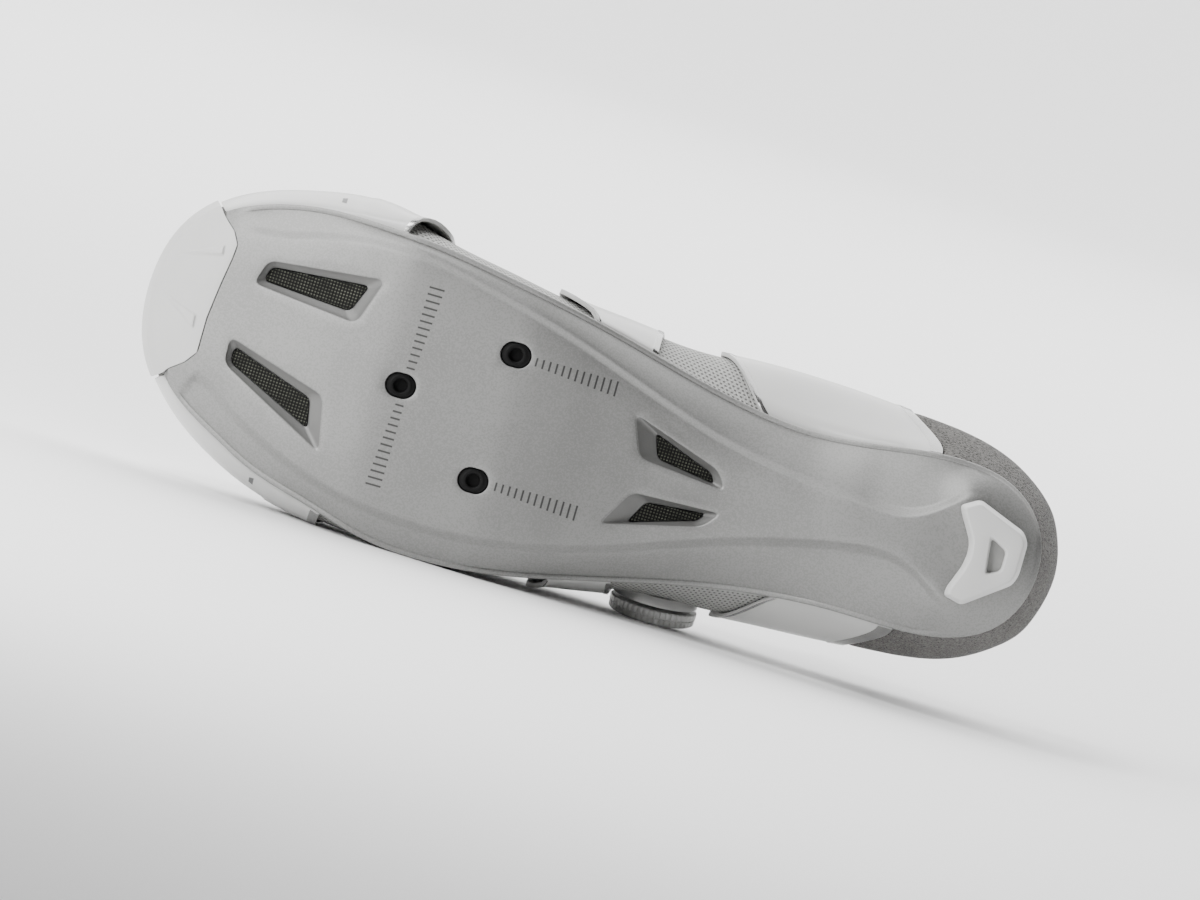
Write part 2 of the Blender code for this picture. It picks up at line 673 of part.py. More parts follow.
def cut(obj, cutter):
    """Takes a cutter out of a piece and removes the cutter."""
    modifier = obj.modifiers.new(cutter.name, "BOOLEAN")
    modifier.operation = "DIFFERENCE"
    modifier.solver = "EXACT"
    modifier.object = cutter
    bpy.context.view_layer.update()
    graph = bpy.context.evaluated_depsgraph_get()
    mesh = bpy.data.meshes.new_from_object(obj.evaluated_get(graph))
    obj.modifiers.clear()
    obj.data = mesh
    bpy.data.objects.remove(cutter)


def bumper_line(count):
    """The bumper's line on the sole, from its outer corner to its inner corner."""
    rows = np.array([(r.at * LENGTH, r.across * BALL_WIDTH) for r in BUMPER_LINE])
    run = np.concatenate([[0], np.cumsum(np.linalg.norm(np.diff(rows, axis=0), axis=1))])
    s = np.linspace(0, run[-1], count)
    return np.column_stack([np.interp(s, run, rows[:, 0]), np.interp(s, run, rows[:, 1])])


class Upper:
    """The upper's outer surface: a meridian a station, from the feather over the bulge to the top edge."""

    def __init__(self):
        stations = np.arange(LOOP)
        xy = EDGE(stations) - outward(EDGE, stations) * FEATHER_INSET
        feather = np.column_stack([xy, edge_top(EDGE(stations)) + GAP])
        plan = loop_points(UPPER_PLAN, "bulge_at", "bulge_medial", "bulge_lateral")
        up = mirrored(UPPER_PLAN, "bulge_up") * INSTEP_HEIGHT
        bulge = np.column_stack([plan, feather[:, 2] + up])
        plan = loop_points(UPPER_PLAN, "top_at", "top_medial", "top_lateral")
        top = np.column_stack([plan, mirrored(UPPER_PLAN, "top_up") * INSTEP_HEIGHT])
        rows = [feather, bulge]
        for name in ("side", "crown"):
            share = np.column_stack(
                [
                    mirrored(UPPER_PLAN, name + "_in"),
                    mirrored(UPPER_PLAN, name + "_in"),
                    mirrored(UPPER_PLAN, name + "_up"),
                ]
            )
            rows.append(bulge + (top - bulge) * share)
        rows.append(top)
        self.levels = [closed_spline(row, EDGE_POINTS) for row in rows]
        self.basis = level_basis()

    def on(self, station, level):
        """Points of the outer surface for arrays of stations and levels."""
        rows = [spline(station) for spline in self.levels]
        weights = self.basis(level)
        return sum(w[..., None] * row for w, row in zip(weights, rows))

    def at(self, station, level, offset=0.0):
        """Points at a distance from the outer surface, outwards."""
        station, level = np.broadcast_arrays(np.asarray(station, float), np.asarray(level, float))
        along = self.on(station + 0.02, level) - self.on(station - 0.02, level)
        rise = self.on(station, level + 0.004) - self.on(station, level - 0.004)
        normal = np.cross(rise, along)
        normal /= np.linalg.norm(normal, axis=-1, keepdims=True)
        return self.on(station, level) + normal * np.asarray(offset)[..., None]


def level_basis():
    """Natural cubic weights of the five levels at a share of the way up."""
    knots = np.array(LEVELS)
    count = len(knots)
    step = np.diff(knots)
    system = np.eye(count)
    right = np.zeros((count, count))
    unit = np.eye(count)
    for i in range(1, count - 1):
        system[i, i - 1 : i + 2] = (step[i - 1], 2 * (step[i - 1] + step[i]), step[i])
        right[i] = 6 * ((unit[i + 1] - unit[i]) / step[i] - (unit[i] - unit[i - 1]) / step[i - 1])
    bend = np.linalg.solve(system, right)

    def value(level):
        level = np.asarray(level, float)
        i = np.clip(np.searchsorted(knots, level) - 1, 0, count - 2)
        h = step[i]
        b = (level - knots[i]) / h
        a = 1 - b
        out = []
        for k in range(count):
            curve = ((a**3 - a) * bend[i, k] + (b**3 - b) * bend[i + 1, k]) * h * h / 6
            out.append(a * unit[i, k] + b * unit[i + 1, k] + curve)
        return out

    return value


def shell_between(name, finish, outer, inner, closed):
    """Closed piece between two grids of points. The first axis of the grids may be a closed loop."""
    shell = Shell()
    outer_ids = [shell.add(column) for column in np.swapaxes(outer, 0, 1)]
    inner_ids = [shell.add(column) for column in np.swapaxes(inner, 0, 1)]
    for rows in (outer_ids, inner_ids):
        for low, high in zip(rows, rows[1:]):
            shell.strip(low, high, closed)
    shell.strip(outer_ids[0], inner_ids[0], closed)
    shell.strip(outer_ids[-1], inner_ids[-1], closed)
    if not closed:
        for end in (0, -1):
            outside = [row[end] for row in outer_ids]
            within = [row[end] for row in inner_ids]
            if len(outside) == len(within):
                shell.strip(outside, within, False)
            else:
                shell.faces.append(tuple(outside + within[::-1]))
    return shell.object(name, finish)


STATION_SAMPLES = np.arange(0, LOOP, 0.5)
OUTER_LEVELS = np.array([0.0, 0.07, 0.15, 0.24, 0.33, 0.42, 0.51, 0.61, 0.71, 0.81, 0.91, 1.0])
COUNTER_LEVELS = np.array([0.07, 0.15, 0.24, 0.33, 0.51, 0.71])
INNER_LEVELS = np.array([0.0, 0.12, 0.24, 0.42, 0.61, 0.81, 1.0])


def build_upper(upper):
    """The hollow upper, open underneath and at throat and collar."""
    outer = upper.at(STATION_SAMPLES[:, None], OUTER_LEVELS[None], 0.0)
    inner = upper.at(STATION_SAMPLES[:, None], INNER_LEVELS[None], -UPPER_WALL)
    return shell_between("upper", "upper", outer, inner, True)


def patch(name, finish, upper, stations, levels, lift=0.0, wall=OVERLAY_WALL):
    """An overlay of the upper's own surface. stations and levels are grids, lift a grid of extra offset.

    The inner face follows every level of the upper, the outer face fewer of them on its flat lower part.
    """
    lift = lift + 0 * levels
    inner = upper.at(stations, levels, OVERLAY_GAP + lift)
    outer = upper.at(stations, levels, OVERLAY_GAP + lift + wall)
    height = levels.mean(axis=0)
    kept = [row for row in range(len(height)) if row % 2 == 0 or row == 1 or height[row] > FLAT_BELOW]
    return shell_between(name, finish, outer[:, kept], inner, False)


def samples(start, end, fixed, margin):
    """The fixed grid values between two ends, clear of them by a margin, with the ends."""
    inner = [v for v in fixed if start + margin < v < end - margin]
    return np.array([start] + inner + [end])


def build_toe_panel(upper):
    """Smooth panel round the toe, ending over the ball on both sides. It starts above the bumper."""
    steps = np.array([-0.33, -0.2, -0.08])
    fixed = np.sort(np.concatenate([STATION_SAMPLES, BUMPER_FROM + steps, BUMPER_TO - steps]))
    stations = samples(TOE_PANEL_FROM, TOE_PANEL_TO, fixed, 0.12)
    levels = samples(PANEL_LOW, TOE_PANEL_TOP, OUTER_LEVELS, 0.03)
    beyond = np.minimum(stations - BUMPER_FROM, BUMPER_TO - stations)
    over = bumper_top(stations) + 0.035
    ramp = np.clip(1 + beyond / TOE_PANEL_RAMP, 0, 1)
    low = PANEL_LOW + (over - PANEL_LOW) * ramp
    rows = np.arange(len(levels))
    levels = np.maximum(levels[None], low[:, None] + 0.007 * rows[None])
    grid = np.repeat(stations[:, None], len(rows), axis=1)
    rear = np.clip(1 - (grid - TOE_PANEL_FROM) / 0.75, 0, 1) ** 2
    lift = TOE_PANEL_LIFT * rear * np.clip(1 - levels / 0.75, 0, 1)
    return patch("toe_panel", "panel", upper, grid, levels, lift)


def bumper_top(stations):
    """How far up the upper the bumper reaches at a station: least at its two ends."""
    ends = np.minimum(stations - BUMPER_FROM, BUMPER_TO - stations)
    return BUMPER_TOP_ENDS + (BUMPER_TOP - BUMPER_TOP_ENDS) * np.clip(ends / 1.6, 0, 1) ** 0.7


def bumper_grid(upper, moved):
    """Inner face of the bumper, a row of points from its line on the sole to its top edge for each station.

    moved pushes the face towards the plate and the upper.
    """
    stations = np.linspace(BUMPER_TO, BUMPER_FROM, BUMPER_COLUMNS)
    line = bumper_line(BUMPER_COLUMNS)
    edge = EDGE(stations)
    normal = outward(EDGE, stations)
    floor = BUMPER_THICK + moved
    rows = []
    for share in (0.0, 0.35, 0.7):
        xy = line + (edge - normal * 0.5 * MM - line) * share
        rows.append(np.column_stack([xy, rolled_height(xy) + floor]))
    xy = edge - normal * 0.5 * MM
    last = rolled_height(xy) + floor
    rows.append(np.column_stack([xy, last]))
    return stations, line, edge, normal, rows, last


def build_bumper_recess(upper):
    """Cutter that lets the bumper into the plate, 0.3 mm larger than the bumper's floor."""
    _, line, edge, normal, rows, last = bumper_grid(upper, GAP * 1.4)
    back = rows[0].copy()
    back[:, 0] -= GAP
    rows = [back] + rows[1:] + [np.column_stack([edge + normal * 8 * MM, last + 0.5 * MM])]
    face = np.stack(rows, axis=1)
    first = face[:1] + (-2 * MM, -9 * MM, 0)
    final = face[-1:] + (0, 9 * MM, 0)
    face = np.concatenate([first, face, final])
    deep = face - np.array([0, 0, 22 * MM])
    return shell_between("bumper_recess", "bumper", deep, face, False)


def build_toe_bumper(upper):
    """Bumper: a floor let into the plate's front, wrapped round its edge and up the toe."""
    stations, line, edge, normal, inner, last = bumper_grid(upper, 0.0)
    outer = []
    for share in (0.0, 0.35, 0.7):
        xy = line + (edge - line) * share
        outer.append(np.column_stack([xy, rolled_height(xy)]))
    reach = GAP + BUMPER_THICK
    rise = FEATHER(edge[:, 0]) + GROUND(edge[:, 0])
    low = rolled_height(edge)
    outer.append(np.column_stack([edge + normal * 0.2 * MM, low + 0.1 * MM]))
    outer.append(np.column_stack([edge + normal * reach * 0.8, low + 1.2 * MM]))
    inner.append(np.column_stack([edge + normal * GAP * 1.2, last + 0.1 * MM]))
    outer.append(np.column_stack([edge + normal * reach, (low + rise) / 2]))
    inner.append(np.column_stack([edge + normal * GAP * 1.2, rise]))
    middle = (BUMPER_TO + BUMPER_FROM) / 2
    top = bumper_top(stations)
    for share in (0.0, 0.34, 0.67, 1.0):
        level = BUMPER_WALL_FROM + (top - BUMPER_WALL_FROM) * share
        lean = middle + (stations - middle) * (1 - BUMPER_LEAN / (BUMPER_TO - middle) * share)
        outer.append(upper.at(lean, level, reach * np.ones(BUMPER_COLUMNS)))
        inner.append(upper.at(lean, level, GAP * 1.3 * np.ones(BUMPER_COLUMNS)))
    return shell_between(
        "toe_bumper", "bumper", np.stack(outer, axis=1), np.stack(inner, axis=1), False
    )


def quarter_front(side, level):
    """Station of a quarter's curved front edge at a level: it runs forward as it rises."""
    low, high = (7.75, 8.62) if side == "medial" else (6.85, 7.72)
    return low + (high - low) * np.clip(level / 0.3, 0, 1) ** 0.8


def build_quarter(upper, side):
    """Smooth panel from the curved front edge back to the heel fabric."""
    levels = samples(PANEL_LOW, QUARTER_HIGH, OUTER_LEVELS, 0.02)
    rear = QUARTER_MEDIAL_REAR if side == "medial" else QUARTER_LATERAL_REAR
    shares = np.linspace(0, 1, 7)
    front = quarter_front(side, levels)
    stations = rear + (front[None] - rear) * shares[:, None]
    if side == "lateral":
        stations = LOOP - stations[::-1]
    grid = np.repeat(levels[None], len(shares), axis=0)
    return patch(f"quarter_{side}", "panel", upper, stations, grid, 0.3 * MM)


def build_counter(upper):
    """Grey fabric round the heel, from one quarter to the other."""
    stations = samples(-COUNTER_LATERAL, COUNTER_MEDIAL, np.arange(-LOOP, LOOP, 0.5), 0.12)
    levels = samples(PANEL_LOW, COUNTER_HIGH, COUNTER_LEVELS, 0.02)
    grid = np.repeat(stations[:, None], len(levels), axis=1)
    levels = np.repeat(levels[None], len(stations), axis=0)
    return patch("heel_counter", "counter", upper, grid, levels, 0.15 * MM)


def arch(start, start_way, end, end_way, shares):
    """Curve from one point to another, leaving along start_way and arriving along end_way."""
    s = np.asarray(shares)[:, None]
    span = np.linalg.norm(end - start)
    first = start + start_way / np.linalg.norm(start_way) * span * 0.36
    second = end - end_way / np.linalg.norm(end_way) * span * 0.36
    return (1 - s) ** 3 * start + 3 * s * (1 - s) ** 2 * first + 3 * s * s * (1 - s) * second + s**3 * end


def across(upper, medial, lateral, low_medial, low_lateral, offset, extra=0.0):
    """Points across the instep at an offset: up the inner side, over the throat, down the outer side."""
    rising = [v for v in OUTER_LEVELS if v > low_medial + 0.02]
    falling = [v for v in OUTER_LEVELS[::-1] if v > low_lateral + 0.02]
    up = np.array([low_medial] + rising)
    down = np.array(falling + [low_lateral])
    inner = upper.at(np.full(len(up), medial), up, np.full(len(up), offset))
    outer = upper.at(np.full(len(down), LOOP - lateral), down, np.full(len(down), offset))
    bridge = arch(inner[-1], inner[-1] - inner[-2], outer[0], outer[1] - outer[0], [0.2, 0.4, 0.6, 0.8])
    bridge[:, 2] += extra
    return np.vstack([inner, bridge, outer])


def build_strap(upper):
    """Band from one side of the sole over the tongue to the other."""
    shares = np.linspace(0, 1, 6)
    inner = []
    outer = []
    for share in shares:
        medial = STRAP_MEDIAL[0] + (STRAP_MEDIAL[1] - STRAP_MEDIAL[0]) * share
        lateral = STRAP_LATERAL[0] + (STRAP_LATERAL[1] - STRAP_LATERAL[0]) * share
        lift = OVERLAY_GAP + STRAP_LIFT * max(0.0, share - 0.8) / 0.2 * 0.6
        inner.append(across(upper, medial, lateral, PANEL_LOW, PANEL_LOW, lift))
        outer.append(across(upper, medial, lateral, PANEL_LOW, PANEL_LOW, lift + OVERLAY_WALL * 1.2))
    return shell_between("midfoot_strap", "panel", np.array(outer), np.array(inner), False)


TONGUE_STATIONS = (8.5, 9.0, 9.5, 10.0, 10.5, 11.5, 12.5, 13.0, 13.5)
TONGUE_FREE = ((1.0, 0.50), (0.8, 0.68), (0.5, 0.70), (0.22, 0.52))
TONGUE_UNDER = 0.82
TONGUE_RISE = 31 * MM
TONGUE_LEAN = 19 * MM
TONGUE_GAP = 0.8 * MM


def build_tongue(upper):
    """Padded tongue: under both edges of the throat, then free up to its rounded top."""
    sections = []
    for depth in (0.0, TONGUE_THICK):
        offset = -(UPPER_WALL + TONGUE_GAP + depth)
        rows = []
        for station in TONGUE_STATIONS:
            rows.append(across(upper, station, station, TONGUE_UNDER, TONGUE_UNDER, offset, 0.4 * MM))
        first = rows[0]
        middle = first.mean(axis=0)
        free = []
        for share, narrow in TONGUE_FREE:
            row = middle + (first - middle) * (narrow, narrow, 1)
            away = (row - middle)[:, 1] / (BALL_WIDTH * 0.18)
            curl = 4 * MM * share * away**2
            row[:, 0] -= TONGUE_LEAN * share**0.85 + curl
            row[:, 2] += TONGUE_RISE * share**1.15 - curl
            free.append(row)
        sections.append(np.array(free + rows))
    return shell_between("tongue", "tongue", sections[0], sections[1], False)


def insole_loop():
    """Plan outline of the insole, inside the upper's wall."""
    stations = np.arange(0, LOOP, 0.5)
    return EDGE(stations) - outward(EDGE, stations) * (FEATHER_INSET + UPPER_WALL + 1.2 * MM)


def build_insole():
    """Insole on the plate's cupped top."""
    return slab(
        "insole",
        "insole",
        insole_loop(),
        [],
        lambda xy: top_height(xy) + INSOLE_GAP,
        lambda xy: top_height(xy) + INSOLE_GAP + INSOLE_THICK,
        *INSOLE_GRID,
    )


def build_vent_meshes():
    """A thin mesh behind each vent."""
    made = []
    for _, mesh in VENTS:
        loop = rounded(grown(corners_of(mesh), -GAP), VENT_CORNER * 0.8, 3)
        made.append(
            slab(
                f"vent_mesh_{mesh.name}",
                "mesh",
                loop,
                [],
                lambda xy: platform_height(xy) + MESH_DEPTH,
                lambda xy: platform_height(xy) + MESH_DEPTH + MESH_THICK,
                0,
            )
        )
    return made


def build_inserts():
    """Black inserts in the bolt slots, each with a round hole."""
    made = []
    for slot in SLOTS:
        made.append(
            slab(
                f"cleat_insert_{slot.name}",
                "insert",
                slot_loop(slot, SLOT_LONG - 2 * GAP, SLOT_WIDE - 2 * GAP),
                [slot_loop(slot, BOLT_HOLE, BOLT_HOLE)],
                lambda xy: platform_height(xy) + INSERT_RECESS,
                lambda xy: platform_height(xy) + INSERT_RECESS + INSERT_THICK,
                0,
            )
        )
    return made


def build_heel_pad():
    """Proud pad under the heel: tapered sides and a shallow window."""
    corners = [(c.at * LENGTH, c.across * BALL_WIDTH) for c in PAD]
    foot = rounded(corners, 1.5 * MM, 2)
    face = rounded(grown(corners, -PAD_TAPER), 1.2 * MM, 2)
    corners = [(c.at * LENGTH, c.across * BALL_WIDTH) for c in PAD_WINDOW]
    window = rounded(corners, 1.4 * MM, 2)
    floor = rounded(grown(corners, -0.4 * MM), 1.2 * MM, 2)
    back = float(GROUND(0.0)) - GAP
    shell = Shell()

    def ring(loop, up):
        return shell.add(np.column_stack([loop, np.full(len(loop), up)]))

    base = ring(foot, back)
    skirt = ring(foot, back - PAD_HEIGHT * 0.45)
    tread = ring(face, back - PAD_HEIGHT)
    lip = ring(window, back - PAD_HEIGHT)
    sunk = ring(floor, back - PAD_HEIGHT + PAD_WINDOW_DEPTH)
    shell.strip(base, skirt)
    shell.strip(skirt, tread)
    shell.fill(tread, [lip], [], None)
    shell.strip(lip, sunk)
    shell.fill(sunk, [], [], None)
    shell.fill(base, [], [], None)
    return shell.object("heel_pad", "bumper")


def turned(name, finish, profile, knurls=0, depth=0.0, count=48):
    """A round piece from (radius, height) rows, its side knurled."""
    shell = Shell()
    rows = []
    for radius, up, rough in profile:
        points = []
        for i in range(count):
            turn = 2 * math.pi * i / count
            notch = depth * rough if knurls and i * knurls * 2 // count % 2 else 0
            points.append(((radius - notch) * math.cos(turn), (radius - notch) * math.sin(turn), up))
        rows.append(shell.add(points))
    for low, high in zip(rows, rows[1:]):
        shell.strip(low, high)
    shell.faces.append(tuple(rows[0]))
    shell.faces.append(tuple(rows[-1]))
    return shell.object(name, finish)


def build_dial(upper):
    """Housing and knurled knob on the outer side, square to the upper there."""
    seat = upper.at(DIAL_STATION, DIAL_LEVEL, 0.0)
    out = upper.at(DIAL_STATION, DIAL_LEVEL, 1.0) - seat
    axis = Vector(out).normalized()
    turn = axis.to_track_quat("Z", "Y").to_matrix().to_4x4()
    knob_from = DIAL_BASE_HEIGHT + GAP
    base = turned(
        "dial_base",
        "dial",
        [(DIAL_BASE_RADIUS * 0.86, 0.0, 0), (DIAL_BASE_RADIUS, 1.2 * MM, 0), (DIAL_BASE_RADIUS * 0.93, DIAL_BASE_HEIGHT, 0)],
        count=28,
    )
    knob = turned(
        "dial_knob",
        "dial",
        [
            (DIAL_RADIUS * 0.98, knob_from, 1),
            (DIAL_RADIUS, knob_from + DIAL_HEIGHT - 1.1 * MM, 1),
            (DIAL_RADIUS * 0.90, knob_from + DIAL_HEIGHT, 0),
            (DIAL_RADIUS * 0.70, knob_from + DIAL_HEIGHT, 0),
            (DIAL_RADIUS * 0.66, knob_from + DIAL_HEIGHT - 0.8 * MM, 0),
        ],
        DIAL_KNURLS,
        DIAL_KNURL_DEPTH,
    )
    place = Matrix.Translation(Vector(seat) + axis * DIAL_SEAT) @ turn
    for piece in (base, knob):
        piece.data.transform(place)
    return [base, knob]


def mass_centre(objects):
    """Centre of mass of closed meshes by their densities."""
    total = 0.0
    moment = Vector((0, 0, 0))
    for obj in objects:
        obj.data.calc_loop_triangles()
        points = [v.co for v in obj.data.vertices]
        for face in obj.data.loop_triangles:
            a, b, c = (points[i] for i in face.vertices)
            weight = a.dot(b.cross(c)) / 6 * obj["density"]
            total += weight
            moment += (a + b + c) / 4 * weight
    return moment / total


def resting_normal(objects):
    """Outward normal of the hull face that the shoe lies on: on the outer side, under the mass centre."""
    centre = mass_centre(objects)
    hull = bmesh.new()
    for obj in objects:
        for vertex in obj.data.vertices:
            hull.verts.new(vertex.co)
    bmesh.ops.remove_doubles(hull, verts=hull.verts[:], dist=1e-6)
    found = bmesh.ops.convex_hull(hull, input=hull.verts[:])
    spare = set(found["geom_interior"] + found["geom_unused"])
    bmesh.ops.delete(hull, geom=[g for g in spare if isinstance(g, bmesh.types.BMVert)], context="VERTS")
    bmesh.ops.triangulate(hull, faces=hull.faces[:])
    hull.normal_update()
    best = (Vector((0, 0, 0)), None)
    for face in hull.faces:
        normal = face.normal
        a, b, c = (v.co for v in face.verts)
        foot = centre - normal * (centre - a).dot(normal)
        sides = [(q - p).cross(foot - p).dot(normal) for p, q in ((a, b), (b, c), (c, a))]
        if (min(sides) > 0 or max(sides) < 0) and normal.y < best[0].y:
            best = (normal.copy(), [tuple(round(v / MM, 1) for v in p) for p in (a, b, c)])
    hull.free()
    print("rests on", best[1], "normal", tuple(round(v, 3) for v in best[0]), "mass centre", centre)
    return best[0]


def lay_on_side(objects):
    """Turns every piece so that the shoe lies as it would on a floor, toe to -X and sole to -Y."""
    down = resting_normal(objects)
    up = -down
    toe = Vector((1, 0, 0))
    toe = (toe - up * toe.dot(up)).normalized()
    side = up.cross(toe)
    turn = Matrix((-toe, -side, up)).to_4x4()
    for obj in objects:
        obj.data.transform(turn)
    points = np.array([v.co for obj in objects for v in obj.data.vertices])
    low = points.min(axis=0)
    high = points.max(axis=0)
    shift = Matrix.Translation((-(low[0] + high[0]) / 2, -(low[1] + high[1]) / 2, -low[2]))
    for obj in objects:
        obj.data.transform(shift)
        obj.data.update()
        del obj["density"]
    print("frame", [[round(v, 6) for v in row] for row in shift @ turn])


def main():
    for obj in list(bpy.data.objects):
        bpy.data.objects.remove(obj)
    upper = Upper()
    pieces = [build_sole_plate(upper), build_upper(upper), build_tongue(upper), build_insole()]
    pieces += build_vent_meshes()
    pieces += build_inserts()
    pieces.append(build_heel_pad())
    pieces.append(build_toe_bumper(upper))
    pieces.append(build_toe_panel(upper))
    pieces.append(build_strap(upper))
    pieces += [build_quarter(upper, side) for side in ("medial", "lateral")]
    pieces.append(build_counter(upper))
    pieces += build_dial(upper)
    for piece in pieces:
        print(piece.name, len(piece.data.polygons))
    lay_on_side(pieces)


main()
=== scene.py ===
"""Looks of a right-foot road cycling shoe lying on its outer side.

Every curved piece is worked out again from the shoe's own sizes, finer than the solids, in the shoe's frame:
+X from heel to toe, +Y to the inner side, +Z up from the ground it would stand on. Rest then turns it to
where the solids lie. Each vertex keeps its place in the shoe's frame, in millimetres, as the attribute
"shoe", and on wrapped pieces its way along and up the surface as "wrap". The materials read these.
"""

from __future__ import annotations

import logging
import math
from collections.abc import Callable, Sequence
from dataclasses import dataclass
from enum import Enum
from functools import cache

import bmesh
import bpy
import numpy as np
from mathutils import Matrix, Vector
from mathutils.geometry import delaunay_2d_cdt


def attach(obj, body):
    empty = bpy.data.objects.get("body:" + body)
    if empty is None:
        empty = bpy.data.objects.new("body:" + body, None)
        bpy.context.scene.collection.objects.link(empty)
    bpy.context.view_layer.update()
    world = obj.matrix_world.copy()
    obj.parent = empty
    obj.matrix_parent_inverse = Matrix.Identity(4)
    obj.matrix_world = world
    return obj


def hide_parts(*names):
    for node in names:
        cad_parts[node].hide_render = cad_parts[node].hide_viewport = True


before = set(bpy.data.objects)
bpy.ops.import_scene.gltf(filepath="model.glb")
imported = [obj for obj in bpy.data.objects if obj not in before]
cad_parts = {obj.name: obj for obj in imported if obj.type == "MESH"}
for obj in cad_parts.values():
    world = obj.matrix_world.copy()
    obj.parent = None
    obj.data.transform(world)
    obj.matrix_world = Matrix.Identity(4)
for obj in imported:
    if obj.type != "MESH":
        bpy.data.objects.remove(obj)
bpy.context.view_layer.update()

LOG = logging.getLogger("shoe")
MM = 0.001
LENGTH = 0.286
BALL_WIDTH = 0.100
INSTEP_HEIGHT = 0.080

Loop = Callable[[np.ndarray], np.ndarray]


class Side(Enum):
    """The two sides of a shoe."""

    MEDIAL = "medial"
    LATERAL = "lateral"


# plate: at, inner and outer half width; its raised platform: the same; how much step there is on either side
SOLE_PLAN = np.array(
    [
        (0.0105, 0.000, 0.000, 0.022, 0.000, 0.000, 1.0, 1.0),
        (0.0150, 0.086, 0.086, 0.024, 0.070, 0.055, 1.0, 1.0),
        (0.0375, 0.186, 0.193, 0.036, 0.118, 0.095, 1.0, 1.0),
        (0.0700, 0.243, 0.250, 0.068, 0.155, 0.150, 1.0, 1.0),
        (0.1050, 0.263, 0.275, 0.102, 0.160, 0.155, 1.0, 1.0),
        (0.1400, 0.264, 0.282, 0.136, 0.090, 0.096, 1.0, 1.0),
        (0.2100, 0.239, 0.281, 0.210, 0.059, 0.079, 1.0, 1.0),
        (0.2800, 0.223, 0.294, 0.280, 0.075, 0.121, 1.0, 1.0),
        (0.3500, 0.244, 0.324, 0.350, 0.106, 0.179, 1.0, 1.0),
        (0.4200, 0.287, 0.368, 0.420, 0.161, 0.250, 1.0, 1.0),
        (0.4900, 0.337, 0.416, 0.490, 0.229, 0.314, 1.0, 1.0),
        (0.5600, 0.381, 0.457, 0.560, 0.293, 0.357, 1.0, 1.0),
        (0.6300, 0.417, 0.475, 0.630, 0.344, 0.375, 1.0, 1.0),
        (0.7000, 0.448, 0.462, 0.700, 0.387, 0.367, 1.0, 1.0),
        (0.7700, 0.463, 0.409, 0.768, 0.400, 0.330, 1.0, 1.0),
        (0.8400, 0.461, 0.350, 0.835, 0.371, 0.255, 1.0, 1.0),
        (0.8820, 0.438, 0.290, 0.874, 0.345, 0.195, 1.0, 1.0),
        (0.9170, 0.402, 0.235, 0.906, 0.335, 0.135, 0.5, 1.0),
        (0.9450, 0.350, 0.172, 0.930, 0.295, 0.115, 0.0, 0.0),
        (0.9680, 0.255, 0.075, 0.950, 0.215, 0.045, 0.0, 0.0),
        (0.9800, 0.090, -0.090, 0.960, 0.090, -0.090, 0.0, 0.0),
    ]
)

# at, ground clearance of the platform, height of the plate's edge over that
SOLE_SIDE = np.array(
    [
        (0.000, 0.100, 0.112),
        (0.126, 0.100, 0.118),
        (0.210, 0.131, 0.135),
        (0.280, 0.170, 0.152),
        (0.350, 0.190, 0.160),
        (0.420, 0.173, 0.154),
        (0.490, 0.115, 0.138),
        (0.545, 0.055, 0.120),
        (0.604, 0.020, 0.105),
        (0.720, 0.020, 0.100),
        (0.770, 0.048, 0.100),
        (0.840, 0.112, 0.096),
        (0.917, 0.202, 0.090),
        (0.990, 0.318, 0.082),
    ]
)

